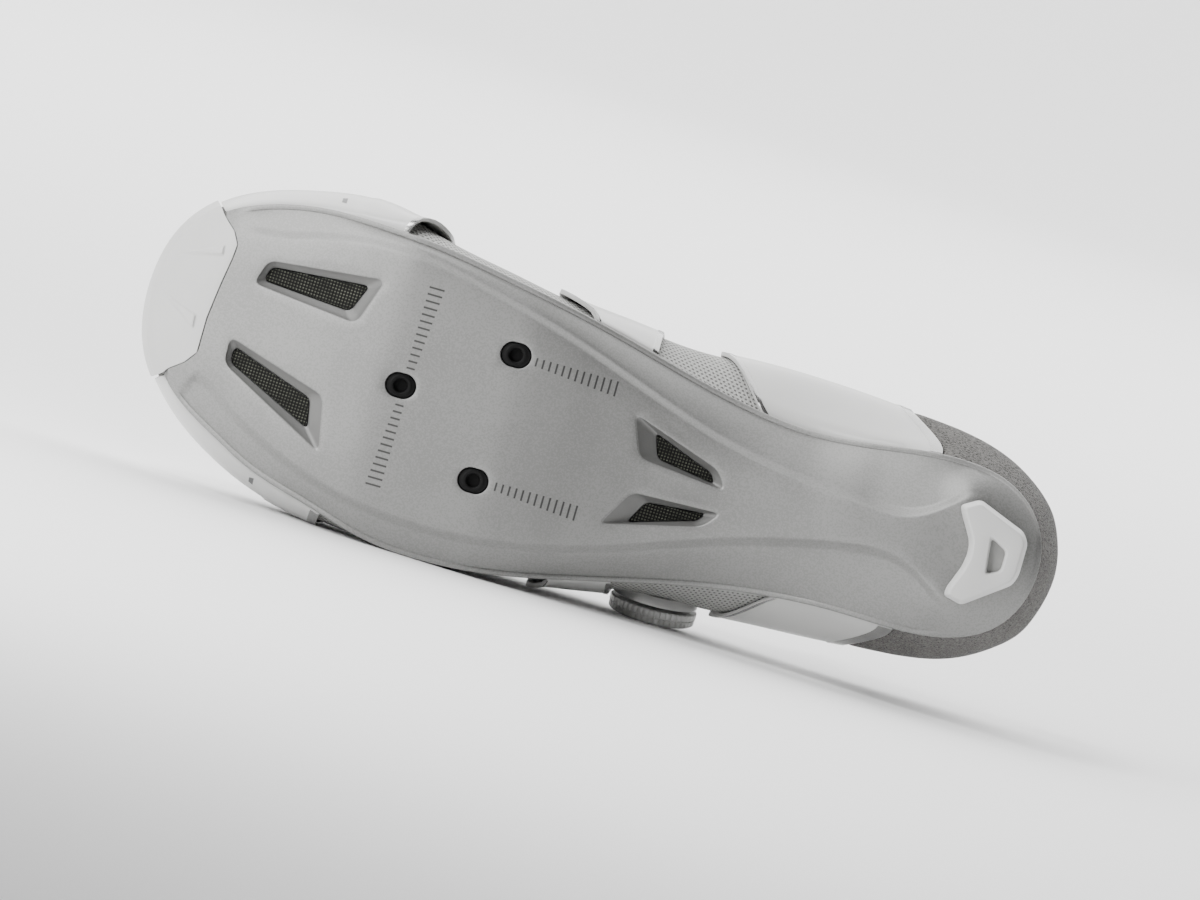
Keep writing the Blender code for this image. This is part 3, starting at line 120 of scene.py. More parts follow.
# bulge at, medial, lateral, up; top at, medial, lateral, up; side point in, up; crown point in, up
UPPER_PLAN = np.array(
    [
        (-0.0030, 0.000, 0.000, 0.26, 0.024, 0.000, 0.000, 1.120, 0.05, 0.42, 0.42, 0.76),
        (0.0050, 0.112, 0.120, 0.26, 0.028, 0.070, 0.070, 1.115, 0.05, 0.42, 0.42, 0.76),
        (0.0270, 0.207, 0.217, 0.26, 0.042, 0.145, 0.145, 1.090, 0.06, 0.42, 0.42, 0.76),
        (0.0620, 0.275, 0.285, 0.25, 0.070, 0.210, 0.210, 1.035, 0.08, 0.42, 0.44, 0.76),
        (0.1000, 0.313, 0.322, 0.25, 0.103, 0.250, 0.252, 0.960, 0.10, 0.42, 0.46, 0.76),
        (0.1380, 0.330, 0.337, 0.24, 0.138, 0.275, 0.280, 0.900, 0.12, 0.42, 0.48, 0.76),
        (0.2100, 0.348, 0.356, 0.22, 0.200, 0.290, 0.295, 0.860, 0.12, 0.42, 0.50, 0.76),
        (0.2800, 0.357, 0.368, 0.21, 0.264, 0.276, 0.282, 0.895, 0.12, 0.42, 0.50, 0.77),
        (0.3500, 0.360, 0.382, 0.20, 0.324, 0.232, 0.240, 0.975, 0.12, 0.44, 0.48, 0.79),
        (0.4200, 0.358, 0.395, 0.19, 0.380, 0.180, 0.195, 1.030, 0.12, 0.46, 0.46, 0.81),
        (0.4900, 0.378, 0.428, 0.18, 0.445, 0.152, 0.165, 1.015, 0.12, 0.46, 0.45, 0.82),
        (0.5600, 0.398, 0.450, 0.17, 0.511, 0.138, 0.140, 0.965, 0.12, 0.46, 0.45, 0.83),
        (0.6300, 0.433, 0.466, 0.16, 0.570, 0.130, 0.118, 0.910, 0.12, 0.46, 0.45, 0.84),
        (0.7000, 0.470, 0.458, 0.16, 0.619, 0.128, 0.095, 0.862, 0.12, 0.46, 0.45, 0.84),
        (0.7700, 0.516, 0.438, 0.16, 0.648, 0.122, 0.074, 0.832, 0.12, 0.46, 0.45, 0.84),
        (0.8400, 0.500, 0.388, 0.16, 0.666, 0.110, 0.055, 0.815, 0.12, 0.47, 0.45, 0.83),
        (0.8840, 0.468, 0.330, 0.15, 0.676, 0.095, 0.037, 0.806, 0.12, 0.48, 0.45, 0.82),
        (0.9210, 0.424, 0.262, 0.15, 0.683, 0.077, 0.019, 0.801, 0.12, 0.50, 0.45, 0.81),
        (0.9500, 0.364, 0.185, 0.14, 0.688, 0.060, 0.002, 0.798, 0.12, 0.52, 0.45, 0.80),
        (0.9740, 0.268, 0.085, 0.13, 0.691, 0.045, -0.014, 0.796, 0.12, 0.54, 0.45, 0.80),
        (0.9860, 0.090, -0.090, 0.12, 0.692, 0.030, -0.030, 0.795, 0.12, 0.55, 0.45, 0.80),
    ]
)
STATIONS = len(SOLE_PLAN) - 1
LOOP = 2 * STATIONS


@dataclass(frozen=True)
class Rest:
    """How the shoe lies: leaned off its side, dipped along its length, and where its heel point is."""

    lean_deg: float = 3.3066
    dip_deg: float = 1.3660
    origin: tuple[float, float, float] = (0.140714, -0.057225, 0.052416)

    def matrix(self) -> np.ndarray:
        """Turn from the shoe's frame to the floor's.

        Returns:
            A 3 by 3 matrix.
        """
        lean, dip = math.radians(self.lean_deg), math.radians(self.dip_deg)
        ahead = np.array([-math.cos(dip), 0.0, -math.sin(dip)])
        up = np.array([math.sin(lean) * math.sin(dip), math.cos(lean), -math.sin(lean) * math.cos(dip)])
        return np.column_stack([ahead, np.cross(up, ahead), up])

    def laid(self, points: np.ndarray) -> np.ndarray:
        """Points of the shoe's frame where they lie on the floor."""
        return np.asarray(points, float) @ self.matrix().T + np.array(self.origin)

    def stood(self, points: np.ndarray) -> np.ndarray:
        """Points on the floor back in the shoe's frame."""
        return (np.asarray(points, float) - np.array(self.origin)) @ self.matrix()


REST = Rest()


def smooth_step(share: np.ndarray | float) -> np.ndarray:
    """Eased 0 to 1."""
    s = np.clip(share, 0.0, 1.0)
    return s * s * (3 - 2 * s)


def profile(at: np.ndarray, values: np.ndarray) -> Loop:
    """Monotone smooth function through rows.

    Args:
        at: Places along the shoe, as shares of its length.
        values: Heights there, as shares of the instep height.

    Returns:
        Function of x in metres.
    """
    xs, ys = at * LENGTH, values * INSTEP_HEIGHT
    step = np.diff(xs)
    slope = np.diff(ys) / step
    inner = np.zeros(len(xs))
    for i in range(1, len(xs) - 1):
        if slope[i - 1] * slope[i] > 0:
            first, second = 2 * step[i] + step[i - 1], step[i] + 2 * step[i - 1]
            inner[i] = (first + second) / (first / slope[i - 1] + second / slope[i])
    inner[0], inner[-1] = slope[0], slope[-1]

    def value(x: np.ndarray) -> np.ndarray:
        """The height at x.

        Args:
            x: Places in metres.

        Returns:
            Heights in metres.
        """
        x = np.asarray(x, float)
        i = np.clip(np.searchsorted(xs, x) - 1, 0, len(step) - 1)
        s = np.clip((x - xs[i]) / step[i], 0.0, 1.0)
        ends = s * (1 - s) ** 2 * inner[i] + s * s * (s - 1) * inner[i + 1]
        return ys[i] + (ys[i + 1] - ys[i]) * s * s * (3 - 2 * s) + step[i] * ends

    return value


def ring_spline(points: np.ndarray, guide: np.ndarray) -> Loop:
    """Closed cubic through a point a station.

    Args:
        points: Points to pass through.
        guide: Plan loop whose chords space the stations.

    Returns:
        Function of the station number.
    """
    count = len(points)
    knots = np.linalg.norm(np.roll(guide, -1, axis=0) - guide, axis=1)
    system = np.zeros((count, count))
    right = np.zeros(points.shape)
    for i in range(count):
        before, after = knots[i - 1], knots[i]
        system[i, (i - 1) % count] += before
        system[i, i] += 2 * (before + after)
        system[i, (i + 1) % count] += after
        right[i] = (points[(i + 1) % count] - points[i]) / after - (points[i] - points[i - 1]) / before
    bend = np.linalg.solve(system, 6 * right)

    def value(station: np.ndarray) -> np.ndarray:
        """The point at a station.

        Args:
            station: Station numbers.

        Returns:
            Points on the loop.
        """
        station = np.mod(np.asarray(station, float), count)
        i = np.minimum(np.floor(station).astype(int), count - 1)
        j = (i + 1) % count
        h = knots[i][..., None]
        b = (station - i)[..., None]
        a = 1 - b
        return a * points[i] + b * points[j] + ((a**3 - a) * bend[i] + (b**3 - b) * bend[j]) * h * h / 6

    return value


def outward(loop: Loop, station: np.ndarray) -> np.ndarray:
    """Unit normal of a plan loop, pointing out of it.

    Args:
        loop: The loop.
        station: Stations on it.

    Returns:
        A normal for each station.
    """
    ahead = loop(np.asarray(station) + 0.01) - loop(np.asarray(station) - 0.01)
    normal = np.stack([-ahead[..., 1], ahead[..., 0]], axis=-1)
    return normal / np.linalg.norm(normal, axis=-1, keepdims=True)


def both_sides(medial: np.ndarray, lateral: np.ndarray) -> np.ndarray:
    """Values round the whole loop from a column for each side."""
    return np.concatenate([medial, lateral[1:-1][::-1]])


# Creases where the shoe bends: station, forward lean over the levels, lowest and highest level,
# depth in mm and width in stations.
CREASES = (
    (12.95, 0.55, 0.30, 1.15, 0.50, 0.20),
    (14.60, -0.30, 0.42, 1.10, 0.42, 0.22),
    (8.95, 0.50, 0.26, 1.02, 0.40, 0.18),
    (6.60, 0.60, 0.40, 1.05, 0.30, 0.24),
    (LOOP - 12.75, -0.55, 0.32, 1.15, 0.50, 0.20),
    (LOOP - 14.85, 0.30, 0.45, 1.10, 0.40, 0.22),
    (LOOP - 6.40, -0.60, 0.42, 1.05, 0.30, 0.24),
)


@dataclass
class Last:
    """The shoe's form: the sole's heights over its plan and the upper's surface by station and level."""

    plate_thick: float = 4.6 * MM
    rim_thick: float = 2.8 * MM
    toe_roll: float = 13 * MM
    crown_from: float = 0.6
    crown_lift: float = 0.9 * MM
    feather_inset: float = 1.3 * MM
    gap: float = 0.3 * MM
    corner_swells: tuple[tuple[float, float], ...] = ((30.2, 17.4), (29.6, -15.6))
    swell_height: float = 1.5 * MM
    swell_spread: float = 4.2 * MM
    levels: tuple[float, ...] = (0.0, 0.22, 0.47, 0.74, 1.0)

    def __post_init__(self) -> None:
        """Works out the splines once."""
        sole, wrap = SOLE_PLAN, UPPER_PLAN
        plan = self._plan(sole[:, 0], sole[:, 1], sole[:, 2])
        self.edge = ring_spline(plan, plan)
        self.platform = ring_spline(self._plan(sole[:, 3], sole[:, 4], sole[:, 5]), plan)
        self.ground = profile(SOLE_SIDE[:, 0], SOLE_SIDE[:, 1])
        self.feather = profile(SOLE_SIDE[:, 0], SOLE_SIDE[:, 2])
        self.steps = both_sides(sole[:, 6], sole[:, 7])
        self.edge_ring = self.edge(np.arange(0, LOOP, 0.1))
        stations = np.arange(LOOP)
        rim = self.edge(stations)
        foot = rim - outward(self.edge, stations) * self.feather_inset
        foot = np.column_stack([foot, self.edge_top(rim) + self.gap])
        bulge = self._plan(wrap[:, 0], wrap[:, 1], wrap[:, 2])
        rise = both_sides(wrap[:, 3], wrap[:, 3]) * INSTEP_HEIGHT
        bulge = np.column_stack([bulge, foot[:, 2] + rise])
        top = self._plan(wrap[:, 4], wrap[:, 5], wrap[:, 6])
        top = np.column_stack([top, both_sides(wrap[:, 7], wrap[:, 7]) * INSTEP_HEIGHT])
        rows = [foot, bulge]
        for column in (8, 10):
            inward = both_sides(wrap[:, column], wrap[:, column])
            upward = both_sides(wrap[:, column + 1], wrap[:, column + 1])
            rows.append(bulge + (top - bulge) * np.column_stack([inward, inward, upward]))
        rows.append(top)
        self.rows = [ring_spline(row, plan) for row in rows]
        self._fit_levels()

    @staticmethod
    def _plan(at: np.ndarray, medial: np.ndarray, lateral: np.ndarray) -> np.ndarray:
        """Plan points round the loop, in metres."""
        across = both_sides(medial, -lateral) * BALL_WIDTH
        return np.column_stack([both_sides(at, at) * LENGTH, across])

    def _fit_levels(self) -> None:
        """Solves the natural cubic that blends the five rows."""
        knots = np.array(self.levels)
        count, step, unit = len(knots), np.diff(knots), np.eye(len(knots))
        system, right = np.eye(count), np.zeros((count, count))
        for i in range(1, count - 1):
            system[i, i - 1 : i + 2] = (step[i - 1], 2 * (step[i - 1] + step[i]), step[i])
            after = (unit[i + 1] - unit[i]) / step[i]
            right[i] = 6 * (after - (unit[i] - unit[i - 1]) / step[i - 1])
        self.knots, self.bend = knots, np.linalg.solve(system, right)

    def weights(self, level: np.ndarray) -> list[np.ndarray]:
        """Weight of each of the five rows at a level.

        Args:
            level: The level.

        Returns:
            A weight for each row.
        """
        i = np.clip(np.searchsorted(self.knots, level) - 1, 0, len(self.knots) - 2)
        h = np.diff(self.knots)[i]
        b = (level - self.knots[i]) / h
        a = 1 - b
        unit = np.eye(len(self.knots))
        curve = [((a**3 - a) * self.bend[i, k] + (b**3 - b) * self.bend[i + 1, k]) * h * h / 6 for k in range(5)]
        return [a * unit[i, k] + b * unit[i + 1, k] + curve[k] for k in range(5)]

    def _surface(self, station: np.ndarray, level: np.ndarray) -> np.ndarray:
        """Points of the upper's outer face."""
        shares = self.weights(level)
        return sum(w[..., None] * row(station) for w, row in zip(shares, self.rows))

    def at(self, station: np.ndarray, level: np.ndarray, offset: np.ndarray | float = 0.0) -> np.ndarray:
        """Points at a distance out from the upper's face.

        Args:
            station: Stations, heel to toe on the inner side and back on the outer side.
            level: Shares of the way up from the sole to the top edge.
            offset: Distance outwards in metres.

        Returns:
            Points in the shoe's frame.
        """
        station, level = np.broadcast_arrays(np.asarray(station, float), np.asarray(level, float))
        along = self._surface(station + 0.02, level) - self._surface(station - 0.02, level)
        rise = self._surface(station, level + 0.004) - self._surface(station, level - 0.004)
        normal = np.cross(rise, along)
        normal /= np.linalg.norm(normal, axis=-1, keepdims=True)
        offset = np.broadcast_to(offset, station.shape) + self.creased(station, level)
        return self._surface(station, level) + normal * offset[..., None]

    @staticmethod
    def creased(station: np.ndarray, level: np.ndarray) -> np.ndarray:
        """How far the soft troughs and ridges of the bending places stand off the plain form.

        Args:
            station: Stations, heel to toe on the inner side and back on the outer side.
            level: Shares of the way up from the sole to the top edge.

        Returns:
            Distances outwards in metres.
        """
        rise = np.zeros(station.shape)
        for place, lean, low, high, depth, width in CREASES:
            away = (np.mod(station, LOOP) - place - lean * (level - low)) / width
            window = smooth_step((level - low) / 0.25) * smooth_step((high - level) / 0.2)
            ridges = np.exp(-((away - 2.0) ** 2)) + np.exp(-((away + 2.0) ** 2))
            rise += depth * MM * window * (0.4 * ridges - np.exp(-(away**2)))
        return rise

    def step_share(self, station: np.ndarray) -> np.ndarray:
        """How much of the step beside the platform is there."""
        return np.interp(np.mod(station, LOOP), np.arange(LOOP + 1), np.append(self.steps, self.steps[0]))

    def edge_distance(self, xy: np.ndarray) -> np.ndarray:
        """Distance in plan to the plate's edge.

        Args:
            xy: Plan points.

        Returns:
            Distances in metres.
        """
        start = self.edge_ring
        along = np.roll(start, -1, axis=0) - start
        found = []
        for part in np.array_split(xy, max(1, len(xy) // 4000)):
            rel = part[:, None, :] - start[None]
            share = np.clip((rel * along).sum(-1) / (along**2).sum(-1), 0, 1)
            found.append(np.linalg.norm(rel - share[..., None] * along, axis=-1).min(axis=1))
        return np.concatenate(found)

    @staticmethod
    def _across(xy: np.ndarray, loop: Loop) -> np.ndarray:
        """0 on a loop's middle line and 1 on its sides.

        Args:
            xy: Plan points.
            loop: The loop.

        Returns:
            Shares of the half width.
        """
        points = loop(np.arange(0, LOOP, 0.05))
        inner, outer = points[: len(points) // 2 + 1], points[len(points) // 2 :][::-1]
        high = np.interp(xy[:, 0], inner[:, 0], inner[:, 1])
        low = np.interp(xy[:, 0], outer[:, 0], outer[:, 1])
        return np.clip(np.abs(xy[:, 1] - (high + low) / 2) / np.maximum((high - low) / 2, MM), 0, 1)

    def swell(self, xy: np.ndarray) -> np.ndarray:
        """Soft swellings of the plate at the heel pad's front corners.

        Args:
            xy: Plan points.

        Returns:
            Heights in metres.
        """
        total = np.zeros(len(xy))
        for x, y in self.corner_swells:
            away = ((xy - (x * MM, y * MM)) ** 2).sum(axis=1)
            total += np.exp(-away / (2 * self.swell_spread**2))
        return self.swell_height * total

    def platform_height(self, xy: np.ndarray) -> np.ndarray:
        """Underside of the platform, a little crowned to its sides.

        Args:
            xy: Plan points.

        Returns:
            Heights in metres.
        """
        share = self._across(xy, self.platform)
        crown = np.maximum(0, (share - self.crown_from) / (1 - self.crown_from)) ** 2
        fade = np.interp(xy[:, 0], [0.14 * LENGTH, 0.2 * LENGTH], [0, 1])
        return self.ground(xy[:, 0]) + self.crown_lift * crown * fade

    def rolled_height(self, xy: np.ndarray) -> np.ndarray:
        """Underside where it rolls up to the edge without a step."""
        roll = np.maximum(0, 1 - self.edge_distance(xy) / self.toe_roll) ** 2
        return self.ground(xy[:, 0]) + (self.feather(xy[:, 0]) - self.rim_thick) * roll

    def top_height(self, xy: np.ndarray) -> np.ndarray:
        """Upper face of the plate, a shallow cup.

        Args:
            xy: Plan points.

        Returns:
            Heights in metres.
        """
        ends = np.maximum(0, 1 - self.edge_distance(xy) / self.toe_roll)
        cup = np.maximum(self._across(xy, self.edge) ** 2.4, ends**2)
        return self.ground(xy[:, 0]) + self.plate_thick + (self.feather(xy[:, 0]) - self.plate_thick) * cup

    def edge_top(self, xy: np.ndarray) -> np.ndarray:
        """Height of the plate's top edge."""
        return self.ground(xy[..., 0]) + self.feather(xy[..., 0])

    def heel_share(self, xy: np.ndarray) -> np.ndarray:
        """1 behind the heel pad, where the plate is plainly rounded, and 0 ahead of it."""
        return 1 - smooth_step((xy[:, 0] - 21 * MM) / (13 * MM))

    def over_plate(self, points: np.ndarray, gap: float = 0.35 * MM) -> np.ndarray:
        """The same points, none lower than a gap over the plate's edge.

        Args:
            points: Points in the shoe's frame.
            gap: The gap in metres.

        Returns:
            Points in the shoe's frame.
        """
        points = points.copy()
        points[..., 2] = np.maximum(points[..., 2], self.edge_top(points) + gap)
        return points


def within(loop: np.ndarray, points: np.ndarray) -> np.ndarray:
    """Which plan points lie in a loop.

    Args:
        loop: The loop.
        points: Plan points.

    Returns:
        True for each that lies in it.
    """
    a, b = loop, np.roll(loop, -1, axis=0)
    x, y = points[:, :1], points[:, 1:2]
    crosses = (a[:, 1] > y) != (b[:, 1] > y)
    with np.errstate(divide="ignore", invalid="ignore"):
        at = a[:, 0] + (y - a[:, 1]) * (b[:, 0] - a[:, 0]) / (b[:, 1] - a[:, 1])
    return np.count_nonzero(crosses & (x < at), axis=1) % 2 == 1


def clearance(loop: np.ndarray, points: np.ndarray) -> np.ndarray:
    """Distance of plan points from a loop's sides.

    Args:
        loop: The loop.
        points: Plan points.

    Returns:
        Distances in metres.
    """
    along = np.roll(loop, -1, axis=0) - loop
    rel = points[:, None] - loop[None]
    share = np.clip((rel * along).sum(-1) / np.maximum((along**2).sum(-1), 1e-18), 0, 1)
    return np.linalg.norm(rel - share[..., None] * along, axis=-1).min(axis=1)


def plan_grid(outer: np.ndarray, holes: Sequence[np.ndarray], spacing: float, margin: float) -> np.ndarray:
    """Points on a staggered grid in a loop.

    Args:
        outer: The loop.
        holes: Loops left out.
        spacing: Distance between points.
        margin: Least distance from every loop.

    Returns:
        Plan points.
    """
    low, high = outer.min(axis=0), outer.max(axis=0)
    x, y = np.meshgrid(np.arange(low[0], high[0], spacing), np.arange(low[1], high[1], spacing), indexing="ij")
    y[1::2] += spacing / 2
    points = np.column_stack([x.ravel(), y.ravel()])
    points = points[within(outer, points)]
    points = points[clearance(outer, points) > margin]
    for hole in holes:
        points = points[~within(hole, points)]
        points = points[clearance(hole, points) > margin]
    return points


def rounded(corners: Sequence[tuple[float, float]], radius: float, parts: int = 8) -> np.ndarray:
    """A plan polygon with its corners rounded off.

    Args:
        corners: Its corners.
        radius: Size of the rounding.
        parts: Steps in each corner.

    Returns:
        Plan points.
    """
    corners = np.asarray(corners, float)
    loop = []
    for i, corner in enumerate(corners):
        before, after = corners[i - 1] - corner, corners[(i + 1) % len(corners)] - corner
        reach = min(radius, np.linalg.norm(before) * 0.45, np.linalg.norm(after) * 0.45)
        start = corner + before / np.linalg.norm(before) * reach
        end = corner + after / np.linalg.norm(after) * reach
        for s in np.linspace(0, 1, parts + 1):
            loop.append((1 - s) ** 2 * start + 2 * s * (1 - s) * corner + s * s * end)
    return np.array(loop)


def grown(corners: Sequence[tuple[float, float]], by: float) -> np.ndarray:
    """A plan polygon with each side moved out by a distance.

    Args:
        corners: Its corners.
        by: The distance, below 0 for inwards.

    Returns:
        Its new corners.
    """
    corners = np.asarray(corners, float)
    along = np.roll(corners, -1, axis=0) - corners
    after = np.roll(corners, -1, axis=0)
    area = (corners[:, 0] * after[:, 1] - corners[:, 1] * after[:, 0]).sum()
    along /= np.linalg.norm(along, axis=1, keepdims=True)
    normal = np.stack([along[:, 1], -along[:, 0]], axis=1) * np.sign(area)
    mitre = np.roll(normal, 1, axis=0) + normal
    return corners + mitre * by / np.maximum((mitre * normal).sum(axis=1, keepdims=True), 0.3)


def scaled(corners: Sequence[tuple[float, float]]) -> list[tuple[float, float]]:
    """Corners given as shares of length and ball width, in metres."""
    return [(at * LENGTH, across * BALL_WIDTH) for at, across in corners]


class Skin:
    """Points and faces of a piece in the shoe's frame."""

    def __init__(self) -> None:
        """Starts empty."""
        self.points: list[tuple[float, float, float]] = []
        self.faces: list[tuple[int, ...]] = []
        self.slots: list[int] = []
        self.wraps: list[tuple[float, float]] = []

    def add(self, points: np.ndarray, wraps: np.ndarray | None = None) -> list[int]:
        """Adds points.

        Args:
            points: The points.
            wraps: Their ways along and up the surface.

        Returns:
            Their numbers.
        """
        first = len(self.points)
        self.points.extend(map(tuple, np.asarray(points, float)))
        wraps = np.zeros((len(points), 2)) if wraps is None else wraps
        self.wraps.extend(map(tuple, wraps))
        return list(range(first, len(self.points)))

    def face(self, *numbers: int, slot: int = 0) -> None:
        """Adds one face."""
        self.faces.append(numbers)
        self.slots.append(slot)

    def strip(self, low: Sequence[int], high: Sequence[int], closed: bool = True, slot: int = 0) -> None:
        """Makes quads between two rows of as many points.

        Args:
            low: First row.
            high: Second row.
            closed: Whether they run round in a loop.
            slot: Material of the faces.
        """
        for i in range(len(low) if closed else len(low) - 1):
            j = (i + 1) % len(low)
            self.face(low[i], low[j], high[j], high[i], slot=slot)

    def strips(self, rows: Sequence[Sequence[int]], second_from: int = 10**6) -> None:
        """Quads between each row and the next, in the second material from a number on."""
        for number, (low, high) in enumerate(zip(rows, rows[1:])):
            self.strip(low, high, slot=int(number >= second_from))

    def flat(self, ring: Sequence[int]) -> np.ndarray:
        """Plan points of a ring."""
        return np.array([self.points[i][:2] for i in ring])

    def trim(self, marked: Sequence[bool], rows: int) -> None:
        """Gives the second material to the outer face between columns that are both marked.

        Args:
            marked: Whether each column is marked.
            rows: How many points a column has.
        """
        columns = len(marked) - 1
        for number in range((rows - 1) * columns):
            column = number % columns
            if marked[column] and marked[column + 1]:
                self.slots[number] = 1

    def fill(
        self,
        outer: Sequence[int],
        holes: Sequence[Sequence[int]],
        inner: np.ndarray,
        height: Loop | None,
        slot: int = 0,
    ) -> None:
        """Triangles over a plan area.

        Args:
            outer: Points round it.
            holes: Points round each hole in it.
            inner: Plan points inside it.
            height: Height of those.
            slot: Material of the faces.
        """
        loops = [list(outer), *map(list, holes)]
        flat = np.array([self.points[i][:2] for loop in loops for i in loop])
        edges, first = [], 0
        for loop in loops:
            edges += [(first + i, first + (i + 1) % len(loop)) for i in range(len(loop))]
            first += len(loop)
        numbers = [i for loop in loops for i in loop]
        if len(inner):
            numbers += self.add(np.column_stack([inner, height(inner)]))
            flat = np.vstack([flat, inner])
        found = delaunay_2d_cdt([Vector(p) / MM for p in flat], edges, [], 0, 1e-6)
        made, triangles, back = found[0], found[2], found[3]
        middles = np.array([np.mean([made[i] for i in face], axis=0) for face in triangles]) * MM
        keep = within(flat[: len(loops[0])], middles)
        for hole in holes:
            keep &= ~within(self.flat(hole), middles)
        for face, kept in zip(triangles, keep):
            if kept:
                self.face(*(numbers[back[i][0]] for i in face), slot=slot)

    def shell(self, outer: np.ndarray, inner: np.ndarray, closed: bool, slots: Sequence[int] = (0, 0)) -> None:
        """A closed wall between two grids of points.

        Args:
            outer: Outer face, first along the piece and then up it.
            inner: Inner face, as many points.
            closed: Whether it runs round in a loop.
            slots: Materials of the outer and inner face.
        """
        run = np.linalg.norm(np.diff(outer, axis=0), axis=2).mean(axis=1)
        along = np.concatenate([[0], np.cumsum(run)])
        rise = np.linalg.norm(np.diff(outer, axis=1), axis=2)
        up = np.concatenate([np.zeros((len(outer), 1)), np.cumsum(rise, axis=1)], axis=1)
        ids = []
        for grid in (outer, inner):
            wraps = [np.column_stack([along, up[:, j]]) for j in range(grid.shape[1])]
            ids.append([self.add(grid[:, j], wraps[j]) for j in range(grid.shape[1])])
        for rows, slot in zip(ids, slots):
            for low, high in zip(rows, rows[1:]):
                self.strip(low, high, closed, slot)
        self.strip(ids[0][0], ids[1][0], closed, slots[0])
        self.strip(ids[0][-1], ids[1][-1], closed, slots[1])
        if not closed:
            for end in (0, -1):
                self.strip([row[end] for row in ids[0]], [row[end] for row in ids[1]], False, slots[0])

    def piece(self, name: str) -> bpy.types.Object:
        """The finished mesh as an object, laid on the floor and pressed flat on it, its faces outwards.

        Args:
            name: Its name.

        Returns:
            The object.
        """
        mesh = bpy.data.meshes.new(name)
        laid = REST.laid(np.array(self.points))
        laid[:, 2] = np.maximum(laid[:, 2], 0.02 * MM)
        mesh.from_pydata(laid.tolist(), [], self.faces)
        mesh.polygons.foreach_set("material_index", self.slots)
        wrap = mesh.attributes.new("wrap", "FLOAT_VECTOR", "POINT")
        wraps = np.column_stack([np.array(self.wraps) / MM, np.zeros(len(self.wraps))])
        wrap.data.foreach_set("vector", wraps.astype(np.float32).ravel())
        work = bmesh.new()
        work.from_mesh(mesh)
        bmesh.ops.dissolve_degenerate(work, dist=1e-7, edges=work.edges[:])
        bmesh.ops.delete(work, geom=[v for v in work.verts if not v.link_faces], context="VERTS")
        bmesh.ops.recalc_face_normals(work, faces=work.faces[:])
        if work.calc_volume(signed=True) < 0:
            bmesh.ops.reverse_faces(work, faces=work.faces[:])
        work.to_mesh(mesh)
        work.free()
        obj = bpy.data.objects.new(name, mesh)
        bpy.context.scene.collection.objects.link(obj)
        return obj


def only(obj: bpy.types.Object) -> None:
    """Selects one object and makes it active.

    Args:
        obj: The object.
    """
    bpy.ops.object.select_all(action="DESELECT")
    obj.select_set(True)
    bpy.context.view_layer.objects.active = obj


def applied(obj: bpy.types.Object, kind: str, **settings: object) -> None:
    """Adds a modifier and applies it.

    Args:
        obj: The piece.
        kind: Type of modifier.
        settings: Its properties.
    """
    only(obj)
    modifier = obj.modifiers.new(kind.lower(), kind)
    for key, value in settings.items():
        setattr(modifier, key, value)
    bpy.ops.object.modifier_apply(modifier=modifier.name)


def softened(obj: bpy.types.Object, width: float, segments: int = 2, angle: float = 50) -> None:
    """Rounds a piece's sharp edges.

    Args:
        obj: The piece.
        width: Width of the rounding.
        segments: Steps in it.
        angle: Least angle of an edge, in degrees.
    """
    applied(
        obj,
        "BEVEL",
        width=width,
        segments=segments,
        limit_method="ANGLE",
        angle_limit=math.radians(angle),
        use_clamp_overlap=True,
    )


def dressed(
    obj: bpy.types.Object,
    finishes: Sequence["Finish"],
    nodes: Sequence[str],
    sharp_deg: float = 40,
) -> bpy.types.Object:
    """Shades a piece, gives it its finishes and puts it in its solids' place.

    Args:
        obj: The piece.
        finishes: A finish for each material number of its faces.
        nodes: Solids that it stands for.
        sharp_deg: Edges sharper than this stay sharp.

    Returns:
        The same piece.
    """
    only(obj)
    bpy.ops.object.shade_smooth_by_angle(angle=math.radians(sharp_deg))
    count = len(obj.data.vertices)
    where = np.empty(count * 3, np.float32)
    obj.data.vertices.foreach_get("co", where)
    shoe = obj.data.attributes.new("shoe", "FLOAT_VECTOR", "POINT")
    shoe.data.foreach_set("vector", (REST.stood(where.reshape(-1, 3)) / MM).astype(np.float32).ravel())
    for finish in finishes:
        obj.data.materials.append(finish.material())
    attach(obj, "root")
    if nodes:
        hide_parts(*nodes)
    LOG.info("%s: %d faces", obj.name, len(obj.data.polygons))
    return obj


